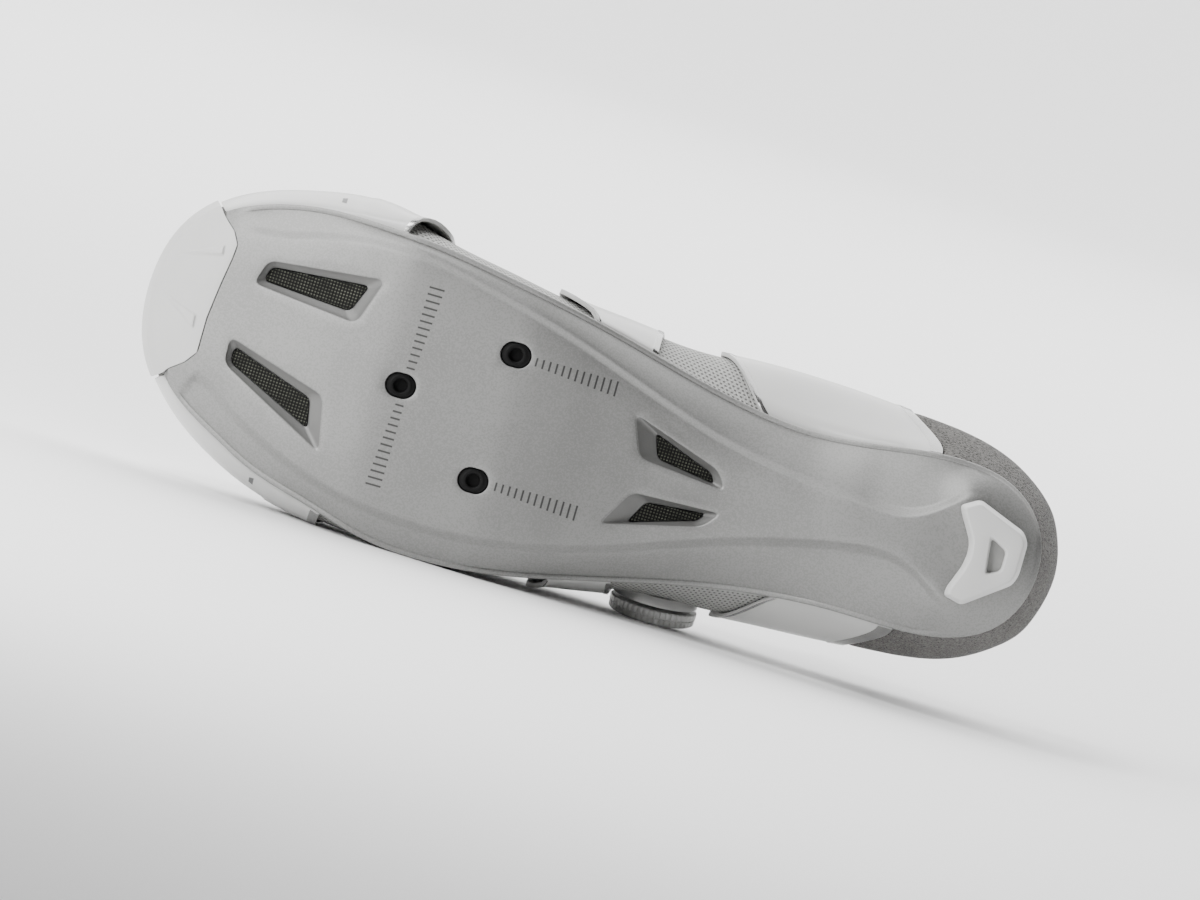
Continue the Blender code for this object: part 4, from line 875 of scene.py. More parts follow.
class Net:
    """Places and links shader nodes in one tree."""

    def __init__(self, tree: bpy.types.NodeTree) -> None:
        """Works on a tree."""
        self.tree = tree

    def feed(self, made: bpy.types.Node, sockets: dict) -> None:
        """Links or sets a node's inputs.

        Args:
            made: The node.
            sockets: Values or sockets for its inputs.
        """
        for key, value in sockets.items():
            if isinstance(value, bpy.types.NodeSocket):
                self.tree.links.new(value, made.inputs[key])
            else:
                made.inputs[key].default_value = value

    def node(self, kind: str, sockets: dict | None = None, **settings: object) -> bpy.types.Node:
        """Adds a node.

        Args:
            kind: Its type without the word ShaderNode.
            sockets: Values or sockets for its inputs.
            settings: Its properties.

        Returns:
            The node.
        """
        made = self.tree.nodes.new("ShaderNode" + kind)
        made.location = (180 * len(self.tree.nodes), 0)
        for key, value in settings.items():
            setattr(made, key, value)
        self.feed(made, sockets or {})
        return made

    def math(self, operation: str, *values: object) -> bpy.types.NodeSocket:
        """Result of a Math node."""
        return self.node("Math", dict(enumerate(values)), operation=operation).outputs[0]

    def ramp(self, value: object, low: float, high: float, to_low: float = 0.0, to_high: float = 1.0) -> object:
        """A value eased from one span to another."""
        sockets = {0: value, 1: low, 2: high, 3: to_low, 4: to_high}
        return self.node("MapRange", sockets, interpolation_type="SMOOTHSTEP").outputs[0]

    def mix(self, share: object, first: object, second: object) -> bpy.types.NodeSocket:
        """A blend of two colours."""
        return self.node("Mix", {0: share, 6: first, 7: second}, data_type="RGBA").outputs[2]

    def attribute(self, name: str) -> bpy.types.NodeSocket:
        """A vector attribute of the piece."""
        return self.node("Attribute", attribute_name=name).outputs["Vector"]

    def group(self, tree: bpy.types.NodeTree, sockets: dict) -> bpy.types.Node:
        """Places a node group.

        Args:
            tree: The group.
            sockets: Values or sockets for its inputs.

        Returns:
            The node.
        """
        made = self.tree.nodes.new("ShaderNodeGroup")
        made.node_tree = tree
        made.location = (180 * len(self.tree.nodes), 0)
        self.feed(made, sockets)
        return made


class Effects:
    """Shader node groups shared by the finishes, each built once."""

    @staticmethod
    def _new(name: str, inputs: dict[str, float | None], outputs: Sequence[str]) -> tuple:
        """Starts a group.

        Args:
            name: Its name.
            inputs: Its inputs' values, None for a vector.
            outputs: Its outputs' names.

        Returns:
            Its tree, net, input node and output node.
        """
        tree = bpy.data.node_groups.new(name, "ShaderNodeTree")
        for key, value in inputs.items():
            kind = "NodeSocketVector" if value is None else "NodeSocketFloat"
            socket = tree.interface.new_socket(name=key, in_out="INPUT", socket_type=kind)
            if value is not None:
                socket.default_value = value
        for key in outputs:
            tree.interface.new_socket(name=key, in_out="OUTPUT", socket_type="NodeSocketFloat")
        start = tree.nodes.new("NodeGroupInput")
        end = tree.nodes.new("NodeGroupOutput")
        return tree, Net(tree), start, end

    @classmethod
    @cache
    def grain(cls) -> bpy.types.NodeTree:
        """Fine grain with a slow unevenness over it: Height and Cloud.

        Returns:
            The group.
        """
        tree, net, start, end = cls._new("grain", {"Place": None, "Fine": 3.0, "Slow": 0.05}, ("Height", "Cloud"))
        place = start.outputs["Place"]
        fine = {"Vector": place, "Scale": start.outputs["Fine"], "Detail": 3.0, "Roughness": 0.6}
        slow = {"Vector": place, "Scale": start.outputs["Slow"], "Detail": 2.0, "Roughness": 0.5}
        tree.links.new(net.node("TexNoise", fine).outputs["Fac"], end.inputs["Height"])
        tree.links.new(net.node("TexNoise", slow).outputs["Fac"], end.inputs["Cloud"])
        return tree

    @classmethod
    @cache
    def knit(cls) -> bpy.types.NodeTree:
        """Crossed yarns at a pitch: Height, and Pit between the yarns, the mask where shade is painted there.

        Returns:
            The group.
        """
        tree, net, start, end = cls._new("knit", {"Place": None, "Pitch": 1.0}, ("Height", "Pit"))
        parts = net.node("SeparateXYZ", {0: start.outputs["Place"]})
        turn = net.math("DIVIDE", 2 * math.pi, start.outputs["Pitch"])
        first = net.math("SINE", net.math("MULTIPLY", net.math("ADD", parts.outputs[0], parts.outputs[1]), turn))
        second = net.math("SINE", net.math("MULTIPLY", net.math("SUBTRACT", parts.outputs[0], parts.outputs[1]), turn))
        height = net.math("MULTIPLY_ADD", net.math("MULTIPLY", first, second), 0.5, 0.5)
        tree.links.new(height, end.inputs["Height"])
        tree.links.new(net.ramp(height, 0.22, 0.02), end.inputs["Pit"])
        return tree

    @classmethod
    @cache
    def holes(cls) -> bpy.types.NodeTree:
        """Staggered round holes at a pitch: Hole.

        Returns:
            The group.
        """
        tree, net, start, end = cls._new("holes", {"Place": None, "Pitch": 2.0, "Radius": 0.4}, ("Hole",))
        parts = net.node("SeparateXYZ", {0: start.outputs["Place"]})
        pitch = start.outputs["Pitch"]
        row = net.math("DIVIDE", parts.outputs[1], pitch)
        shift = net.math("MULTIPLY", net.math("MODULO", net.math("FLOOR", row), 2.0), 0.5)
        column = net.math("ADD", net.math("DIVIDE", parts.outputs[0], pitch), shift)
        x = net.math("SUBTRACT", net.math("FRACT", column), 0.5)
        y = net.math("SUBTRACT", net.math("FRACT", row), 0.5)
        away = net.math("SQRT", net.math("ADD", net.math("MULTIPLY", x, x), net.math("MULTIPLY", y, y)))
        away = net.math("SUBTRACT", net.math("MULTIPLY", away, pitch), start.outputs["Radius"])
        tree.links.new(net.ramp(away, 0.12, -0.12), end.inputs["Hole"])
        return tree

    @classmethod
    @cache
    def ticks(cls) -> bpy.types.NodeTree:
        """A run of thirteen growing graduation marks: Mark.

        Returns:
            The group.
        """
        names = {"Along": 0.0, "Side": 0.0, "Start": 0.0, "Pitch": 2.09, "Line": 0.0, "Way": 1.0}
        tree, net, start, end = cls._new("ticks", names, ("Mark",))
        given = start.outputs
        place = net.math("DIVIDE", net.math("SUBTRACT", given["Along"], given["Start"]), given["Pitch"])
        number = net.math("ROUND", place)
        off = net.math("MULTIPLY", net.math("ABSOLUTE", net.math("SUBTRACT", place, number)), 2.09)
        thin = net.ramp(off, 0.36, 0.22)
        span = net.math("LESS_THAN", net.math("ABSOLUTE", net.math("SUBTRACT", number, 6.0)), 6.5)
        deep = net.math("MULTIPLY", net.math("SUBTRACT", given["Side"], given["Line"]), given["Way"])
        long = net.math("MULTIPLY_ADD", number, 0.175, 2.6)
        inside = net.math("MULTIPLY", net.ramp(deep, -0.1, 0.1), net.ramp(net.math("SUBTRACT", deep, long), 0.1, -0.1))
        tree.links.new(net.math("MULTIPLY", net.math("MULTIPLY", thin, span), inside), end.inputs["Mark"])
        return tree


@dataclass(frozen=True)
class Finish:
    """A smooth moulded finish with fine grain, the base of the others."""

    name: str
    colour: tuple[float, float, float]
    roughness: float
    metallic: float = 0.0
    fine: float = 3.0
    depth_mm: float = 0.03
    tone: float = 0.04
    coat: float = 0.0
    specular: float = 0.5
    speck: float = 0.0

    def material(self) -> bpy.types.Material:
        """The finish as a material, made once.

        Returns:
            The material.
        """
        known = bpy.data.materials.get(self.name)
        if known:
            return known
        made = bpy.data.materials.new(self.name)
        made.use_nodes = True
        net = Net(made.node_tree)
        shader = made.node_tree.nodes["Principled BSDF"]
        shader.inputs["Metallic"].default_value = self.metallic
        shader.inputs["Specular IOR Level"].default_value = self.specular
        shader.inputs["Coat Weight"].default_value = self.coat
        shader.inputs["Coat Roughness"].default_value = 0.25
        colour, rough, normal = self.look(net)
        net.tree.links.new(colour, shader.inputs["Base Color"])
        net.tree.links.new(rough, shader.inputs["Roughness"])
        net.tree.links.new(normal, shader.inputs["Normal"])
        self.extra(shader)
        return made

    def shades(self, net: Net, cloud: object) -> bpy.types.NodeSocket:
        """The colour, a little uneven.

        Args:
            net: Net of the material.
            cloud: 0 where it is darkest, 1 where lightest.

        Returns:
            Colour socket.
        """
        low = tuple(c * (1 - self.tone) for c in self.colour) + (1.0,)
        high = tuple(min(1.0, c * (1 + self.tone)) for c in self.colour) + (1.0,)
        return net.mix(cloud, low, high)

    def look(self, net: Net) -> tuple:
        """Fine grain under a cloudy colour.

        Args:
            net: Net of the material.

        Returns:
            Colour, roughness and normal sockets.
        """
        grain = net.group(Effects.grain(), {"Place": net.attribute("shoe"), "Fine": self.fine})
        height, cloud = grain.outputs["Height"], net.ramp(grain.outputs["Cloud"], 0.3, 0.7)
        if self.speck:
            cloud = net.math("ADD", cloud, net.ramp(height, 0.36, 0.64, -self.speck, self.speck))
        return self.shades(net, cloud), self.uneven(net, height, 0.03), self.bump(net, height)

    def uneven(self, net: Net, value: object, spread: float) -> object:
        """Roughness that follows a value, by a spread either way."""
        return net.ramp(value, 0.3, 0.7, self.roughness - spread, self.roughness + spread)

    def bump(self, net: Net, height: object) -> bpy.types.NodeSocket:
        """Normal of a height, as deep as the finish is."""
        sockets = {"Height": height, "Distance": self.depth_mm * MM, "Strength": 1.0}
        return net.node("Bump", sockets).outputs["Normal"]

    def extra(self, shader: bpy.types.Node) -> None:
        """Settings of one finish's own."""


@dataclass(frozen=True)
class SolePaint(Finish):
    """Satin silver-grey paint with the bolt slots' graduation marks."""

    marks: tuple[float, float, float] = (0.045, 0.045, 0.044)

    def look(self, net: Net) -> tuple:
        """Adds the four runs of marks to the paint.

        Args:
            net: Net of the material.

        Returns:
            Colour, roughness and normal sockets.
        """
        colour, rough, normal = super().look(net)
        parts = net.node("SeparateXYZ", {0: net.attribute("shoe")})
        x, y, _ = parts.outputs
        runs = [
            {"Along": y, "Side": x, "Start": 7.0, "Pitch": 2.09, "Line": 202.1, "Way": -1.0},
            {"Along": y, "Side": x, "Start": -4.5, "Pitch": -2.09, "Line": 199.7, "Way": 1.0},
            {"Along": x, "Side": y, "Start": 165.1, "Pitch": -2.09, "Line": 20.5, "Way": -1.0},
            {"Along": x, "Side": y, "Start": 166.6, "Pitch": -2.09, "Line": -18.7, "Way": -1.0},
        ]
        mark: object = 0.0
        for run in runs:
            mark = net.math("MAXIMUM", mark, net.group(Effects.ticks(), run).outputs["Mark"])
        return net.mix(net.math("MULTIPLY", mark, 0.95), colour, (*self.marks, 1.0)), rough, normal


@dataclass(frozen=True)
class MeshCloth(Finish):
    """Knitted mesh with rows of fine holes, on the surface's own way along and up, with shade painted into the pits
    between the yarns and into the holes.
    """

    pitch: float = 0.9
    hole_pitch: float = 2.0
    hole_radius: float = 0.34
    # Colour of the shade painted into the pits between the yarns and into the holes.
    dark: tuple[float, float, float] = (0.10, 0.10, 0.095)

    def look(self, net: Net) -> tuple:
        """Yarns, holes and their depth, with painted shade in the pits between the yarns and in the holes.

        Args:
            net: Net of the material.

        Returns:
            Colour, roughness and normal sockets.
        """
        place = net.attribute("wrap")
        knit = net.group(Effects.knit(), {"Place": place, "Pitch": self.pitch})
        holes = net.group(Effects.holes(), {"Place": place, "Pitch": self.hole_pitch, "Radius": self.hole_radius})
        grain = net.group(Effects.grain(), {"Place": net.attribute("shoe"), "Fine": self.fine})
        colour = self.shades(net, net.ramp(grain.outputs["Height"], 0.3, 0.7))
        # Painted shade: the pits between the yarns and the holes are blended toward the dark colour.
        shade = net.math("MULTIPLY", knit.outputs["Pit"], 0.35)
        dark = (*self.dark, 1.0)
        colour = net.mix(net.math("MAXIMUM", shade, net.math("MULTIPLY", holes.outputs["Hole"], 0.9)), colour, dark)
        height = net.math("SUBTRACT", knit.outputs["Height"], net.math("MULTIPLY", holes.outputs["Hole"], 2.0))
        return colour, self.uneven(net, grain.outputs["Height"], 0.04), self.bump(net, height)


@dataclass(frozen=True)
class Nap(Finish):
    """Grey napped cloth with dark specks."""

    dark: tuple[float, float, float] = (0.025, 0.024, 0.022)
    sheen: float = 0.35
    cells: float = 1.2

    def look(self, net: Net) -> tuple:
        """Specks and nap.

        Args:
            net: Net of the material.

        Returns:
            Colour, roughness and normal sockets.
        """
        place = net.attribute("shoe")
        grain = net.group(Effects.grain(), {"Place": place, "Fine": self.fine, "Slow": 0.4})
        cells = net.node("TexVoronoi", {"Vector": place, "Scale": self.cells, "Randomness": 1.0})
        speck = net.ramp(cells.outputs["Distance"], 0.50, 0.22)
        speck = net.math("MULTIPLY", speck, net.ramp(grain.outputs["Height"], 0.40, 0.56))
        colour = self.shades(net, net.ramp(grain.outputs["Height"], 0.3, 0.7))
        colour = net.mix(speck, colour, (*self.dark, 1.0))
        height = net.math("SUBTRACT", grain.outputs["Height"], speck)
        return colour, self.uneven(net, grain.outputs["Cloud"], 0.05), self.bump(net, height)

    def extra(self, shader: bpy.types.Node) -> None:
        """A soft sheen."""
        shader.inputs["Sheen Weight"].default_value = self.sheen
        shader.inputs["Sheen Roughness"].default_value = 0.5


@dataclass(frozen=True)
class NotchShadeFilm(Finish):
    """The panels' film with painted shade: a small notch on each side of the toe is darkened to near black."""

    # Middles of the two notches where shade is painted, and their half sizes, in mm.
    notches: tuple[tuple[float, float], ...] = ((234.0, 50.7), (238.0, -39.0))
    half: tuple[float, float] = (0.75, 1.3)

    def look(self, net: Net) -> tuple:
        """Paints shade into the two notches, darkening them to near black.

        Args:
            net: Net of the material.

        Returns:
            Colour, roughness and normal sockets.
        """
        colour, rough, normal = super().look(net)
        x, y, z = net.node("SeparateXYZ", {0: net.attribute("shoe")}).outputs
        for notch in self.notches:
            notch_shade: object = net.math("LESS_THAN", z, 22.0)
            for socket, middle, half in zip((x, y), notch, self.half):
                away = net.math("ABSOLUTE", net.math("SUBTRACT", socket, middle))
                notch_shade = net.math("MULTIPLY", notch_shade, net.ramp(away, half + 0.15, half - 0.15))
            # Painted shade: each notch is blended to near black.
            colour = net.mix(notch_shade, colour, (0.06, 0.06, 0.06, 1.0))
        return colour, rough, normal


@dataclass(frozen=True)
class Weave(Finish):
    """Dark open weave for solids that carry no attribute: read from the object's own place."""

    pitch: float = 1.9
    light: tuple[float, float, float] = (0.085, 0.09, 0.07)

    def look(self, net: Net) -> tuple:
        """Light threads over dark gaps.

        Args:
            net: Net of the material.

        Returns:
            Colour, roughness and normal sockets.
        """
        parts = net.node("SeparateXYZ", {0: net.node("TexCoord").outputs["Object"]})
        x, z = (net.math("MULTIPLY", parts.outputs[i], 1000.0) for i in (0, 2))
        place = net.node("CombineXYZ", {0: x, 1: z}).outputs[0]
        knit = net.group(Effects.knit(), {"Place": place, "Pitch": self.pitch})
        grain = net.group(Effects.grain(), {"Place": place, "Fine": self.fine, "Slow": 0.25})
        thread = net.ramp(knit.outputs["Height"], 0.55, 0.9)
        lit = net.math("MULTIPLY", thread, net.ramp(grain.outputs["Cloud"], 0.25, 0.75, 0.35, 1.0))
        colour = net.mix(lit, (*self.colour, 1.0), (*self.light, 1.0))
        return colour, self.uneven(net, grain.outputs["Height"], 0.05), self.bump(net, knit.outputs["Height"])


SOLE = SolePaint(
    "sole_paint", (0.24, 0.24, 0.234), 0.52, metallic=0.5, fine=1.7, depth_mm=0.03, tone=0.08, speck=1.2
)
BUMPER = Finish("bumper_rubber", (0.52, 0.52, 0.51), 0.48, fine=2.6, depth_mm=0.012, tone=0.02)
PAD = Finish("pad_rubber", (0.58, 0.58, 0.57), 0.50, fine=2.4, depth_mm=0.015, tone=0.02)
# The sole paint made darker for the vents' walls: painted shade in the recesses.
VENT_WALL_SHADE = Finish("vent_wall_painted_shade", (0.15, 0.15, 0.146), 0.46, metallic=0.4, fine=1.7, depth_mm=0.03, tone=0.08)
WINDOW = Finish("pad_window", (0.27, 0.27, 0.262), 0.5, fine=2.4, depth_mm=0.02, tone=0.04)
BLACK = Finish("insert_black", (0.005, 0.005, 0.005), 0.55, fine=4.0, depth_mm=0.01, tone=0.2, specular=0.12)
FILM = Finish("panel_film", (0.51, 0.51, 0.50), 0.34, fine=1.4, depth_mm=0.012, tone=0.02, coat=0.15)
NOTCH_SHADED_FILM = NotchShadeFilm("toe_film", (0.51, 0.51, 0.50), 0.34, fine=1.4, depth_mm=0.012, tone=0.02, coat=0.15)
SILVER = Finish("trim_silver", (0.30, 0.30, 0.295), 0.22, metallic=0.85, fine=0.6, depth_mm=0.02, tone=0.10)
CLOTH = MeshCloth(
    "upper_mesh", (0.44, 0.44, 0.425), 0.75, fine=5.0, depth_mm=0.2, tone=0.1, hole_pitch=1.5, hole_radius=0.38
)
LINING = MeshCloth(
    "lining_cloth", (0.42, 0.42, 0.41), 0.85, fine=5.0, depth_mm=0.08, tone=0.05, pitch=0.7, hole_radius=0.0
)
PADDING = MeshCloth("tongue_cloth", (0.60, 0.60, 0.585), 0.8, fine=5.0, depth_mm=0.12, pitch=1.1, hole_radius=0.25)
HEEL_NAP = Nap("heel_nap", (0.115, 0.111, 0.105), 0.9, fine=1.3, depth_mm=0.4, tone=0.3, specular=0.2, sheen=0.1)
VENT_CLOTH = Weave("vent_weave", (0.004, 0.004, 0.0035), 0.7, fine=3.0, depth_mm=0.2, specular=0.15)
DIAL = Finish("dial_grey", (0.56, 0.56, 0.55), 0.34, metallic=0.6, fine=3.0, depth_mm=0.01, tone=0.04)
INSOLE = MeshCloth("insole_cloth", (0.20, 0.20, 0.20), 0.85, fine=5.0, depth_mm=0.08, pitch=0.8, hole_radius=0.0)

VENTS = {
    "front_medial": (
        ((0.877, 0.266), (0.752, 0.305), (0.770, 0.153), (0.886, 0.187)),
        ((0.872, 0.250), (0.767, 0.274), (0.780, 0.184), (0.877, 0.203)),
    ),
    "front_lateral": (
        ((0.894, 0.014), (0.782, -0.081), (0.770, -0.250), (0.893, -0.068)),
        ((0.887, -0.010), (0.795, -0.099), (0.789, -0.190), (0.887, -0.061)),
    ),
    "rear_medial": (
        ((0.464, 0.128), (0.362, 0.031), (0.350, -0.024), (0.447, 0.002)),
        ((0.437, 0.089), (0.369, 0.018), (0.363, -0.013), (0.428, 0.014)),
    ),
    "rear_lateral": (
        ((0.445, -0.103), (0.347, -0.092), (0.363, -0.146), (0.469, -0.222)),
        ((0.427, -0.120), (0.363, -0.104), (0.369, -0.132), (0.441, -0.196)),
    ),
}
SLOTS = {"front": (0.7073, 0.013), "medial": (0.6000, 0.196), "lateral": (0.6070, -0.201)}
BUMPER_LINE = (
    (0.950, -0.132),
    (0.934, -0.098),
    (0.924, -0.060),
    (0.924, 0.050),
    (0.920, 0.150),
    (0.915, 0.245),
    (0.914, 0.285),
    (0.921, 0.322),
    (0.934, 0.355),
)
PAD_CORNERS = (
    (0.1090, 0.132),
    (0.0900, 0.164),
    (0.0375, 0.106),
    (0.0300, 0.075),
    (0.0300, -0.025),
    (0.0340, -0.058),
    (0.0800, -0.157),
    (0.1000, -0.143),
    (0.1000, -0.118),
    (0.0900, -0.043),
    (0.0880, 0.000),
    (0.0900, 0.036),
    (0.1050, 0.107),
)
PAD_WINDOW = ((0.0700, 0.068), (0.0490, 0.036), (0.0490, -0.029), (0.0650, -0.050))


def slot_ring(name: str, long: float, wide: float, count: int = 64) -> np.ndarray:
    """Plan loop round a bolt slot: half circles joined by straight sides.

    Args:
        name: Which slot.
        long: Its length along the shoe.
        wide: Its width.
        count: Points in the loop.

    Returns:
        Plan points.
    """
    centre = np.array(SLOTS[name]) * (LENGTH, BALL_WIDTH)
    turn = 2 * math.pi * (np.arange(count) + 0.5) / count
    x = np.cos(turn) * wide / 2 + np.sign(np.cos(turn)) * (long - wide) / 2
    return centre + np.column_stack([x, np.sin(turn) * wide / 2])


@dataclass
class ToeBumper:
    """Pale bumper let into the plate's front and wrapped up the toe, with two faint raised wedges."""

    last: Last
    thick: float = 2.0 * MM
    columns: int = 150
    start: float = 17.72
    end: float = LOOP - 18.3
    top: float = 0.40
    top_ends: float = 0.27
    wall_from: float = 0.17
    lean: float = 0.22
    wedges: tuple = (
        ((277.5, 21.6), (265.0, 27.2), (264.6, 24.4)),
        ((279.0, 8.6), (267.6, 4.6), (267.4, 0.8)),
    )
    wedge_height: float = 0.9 * MM

    def line(self, count: int) -> np.ndarray:
        """The bumper's rear line on the sole.

        Args:
            count: How many points.

        Returns:
            Plan points.
        """
        rows = np.array(scaled(BUMPER_LINE))
        run = np.concatenate([[0], np.cumsum(np.linalg.norm(np.diff(rows, axis=0), axis=1))])
        s = np.linspace(0, run[-1], count)
        return np.column_stack([np.interp(s, run, rows[:, 0]), np.interp(s, run, rows[:, 1])])

    def reach_up(self, stations: np.ndarray) -> np.ndarray:
        """How far up the upper it goes."""
        ends = np.minimum(stations - self.start, self.end - stations)
        return self.top_ends + (self.top - self.top_ends) * np.clip(ends / 1.6, 0, 1) ** 0.7

    def recess(self) -> bpy.types.Object:
        """Cutter that makes room for it in the plate.

        Returns:
            The cutter.
        """
        stations = np.linspace(self.end, self.start, 40)
        line, edge = self.line(40), self.last.edge(stations)
        normal = outward(self.last.edge, stations)
        floor = self.thick + self.last.gap * 1.4
        rows = []
        for share in np.linspace(0, 0.85, 8):
            xy = line + (edge - normal * 0.5 * MM - line) * share
            rows.append(np.column_stack([xy, self.last.rolled_height(xy) + floor]))
        rim = edge - normal * 0.5 * MM
        last_up = self.last.rolled_height(rim) + floor
        rows.append(np.column_stack([rim, last_up]))
        rows[0][:, 0] -= self.last.gap * 1.2
        rows.append(np.column_stack([edge + normal * 8 * MM, last_up + 0.5 * MM]))
        face = np.stack(rows, axis=1)
        face = np.concatenate([face[:1] + (-2 * MM, -9 * MM, 0), face, face[-1:] + (0, 9 * MM, 0)])
        skin = Skin()
        skin.shell(face, face - np.array([0, 0, 22 * MM]), False)
        return skin.piece("bumper_recess")

    def embossed(self, points: np.ndarray) -> np.ndarray:
        """How far each point of the sole face is raised by the wedges.

        Args:
            points: Points of the sole face.

        Returns:
            Heights in metres.
        """
        total = np.zeros(len(points))
        for wedge in self.wedges:
            loop = np.array(wedge) * MM
            away = clearance(loop, points[:, :2])
            signed = np.where(within(loop, points[:, :2]), away, -away)
            total = np.maximum(total, smooth_step(signed / (0.8 * MM) + 0.4))
        return total * self.wedge_height

    def build(self) -> bpy.types.Object:
        """Models it as a closed wall.

        Returns:
            The piece.
        """
        last, count = self.last, self.columns
        stations = np.linspace(self.end, self.start, count)
        line, edge = self.line(count), last.edge(stations)
        normal = outward(last.edge, stations)
        reach = last.gap + self.thick
        rise, low = last.edge_top(edge), last.rolled_height(edge)
        rim = edge - normal * 0.5 * MM
        outer, inner = [], []
        for share in np.linspace(0, 0.96, 44):
            xy = line + (edge - line) * share
            up = last.rolled_height(xy) - 0.15 * MM * smooth_step(share * 12)
            outer.append(np.column_stack([xy, up - self.embossed(xy)]))
            xy = line + (rim - line) * share
            inner.append(np.column_stack([xy, last.rolled_height(xy) + self.thick]))
        corner = np.column_stack([edge + normal * 0.2 * MM, low + 0.1 * MM])
        side = np.column_stack([edge + normal * reach, (low + rise) / 2])
        control = np.column_stack([edge + normal * reach * 0.62, low + 1.0 * MM])
        for s in np.linspace(0, 1, 7):
            outer.append((1 - s) ** 2 * corner + 2 * s * (1 - s) * control + s * s * side)
            floor = last.rolled_height(rim) + self.thick
            start = np.column_stack([rim, floor])
            final = np.column_stack([edge + normal * last.gap * 1.2, rise])
            inner.append(start + (final - start) * s)
        middle, top = (self.end + self.start) / 2, self.reach_up(stations)
        for share in np.linspace(0, 1, 14):
            level = self.wall_from + (top - self.wall_from) * share
            lean = middle + (stations - middle) * (1 - self.lean / (self.end - middle) * share)
            offset = reach - 0.9 * MM * smooth_step((share - 0.75) / 0.25)
            outer.append(last.at(lean, level, offset))
            inner.append(last.at(lean, level, last.gap * 1.3))
        skin = Skin()
        skin.shell(np.stack(outer, axis=1), np.stack(inner, axis=1), False)
        piece = skin.piece("bumper_form")
        softened(piece, 0.45 * MM, 3)
        return dressed(piece, [BUMPER], ["toe_bumper"])


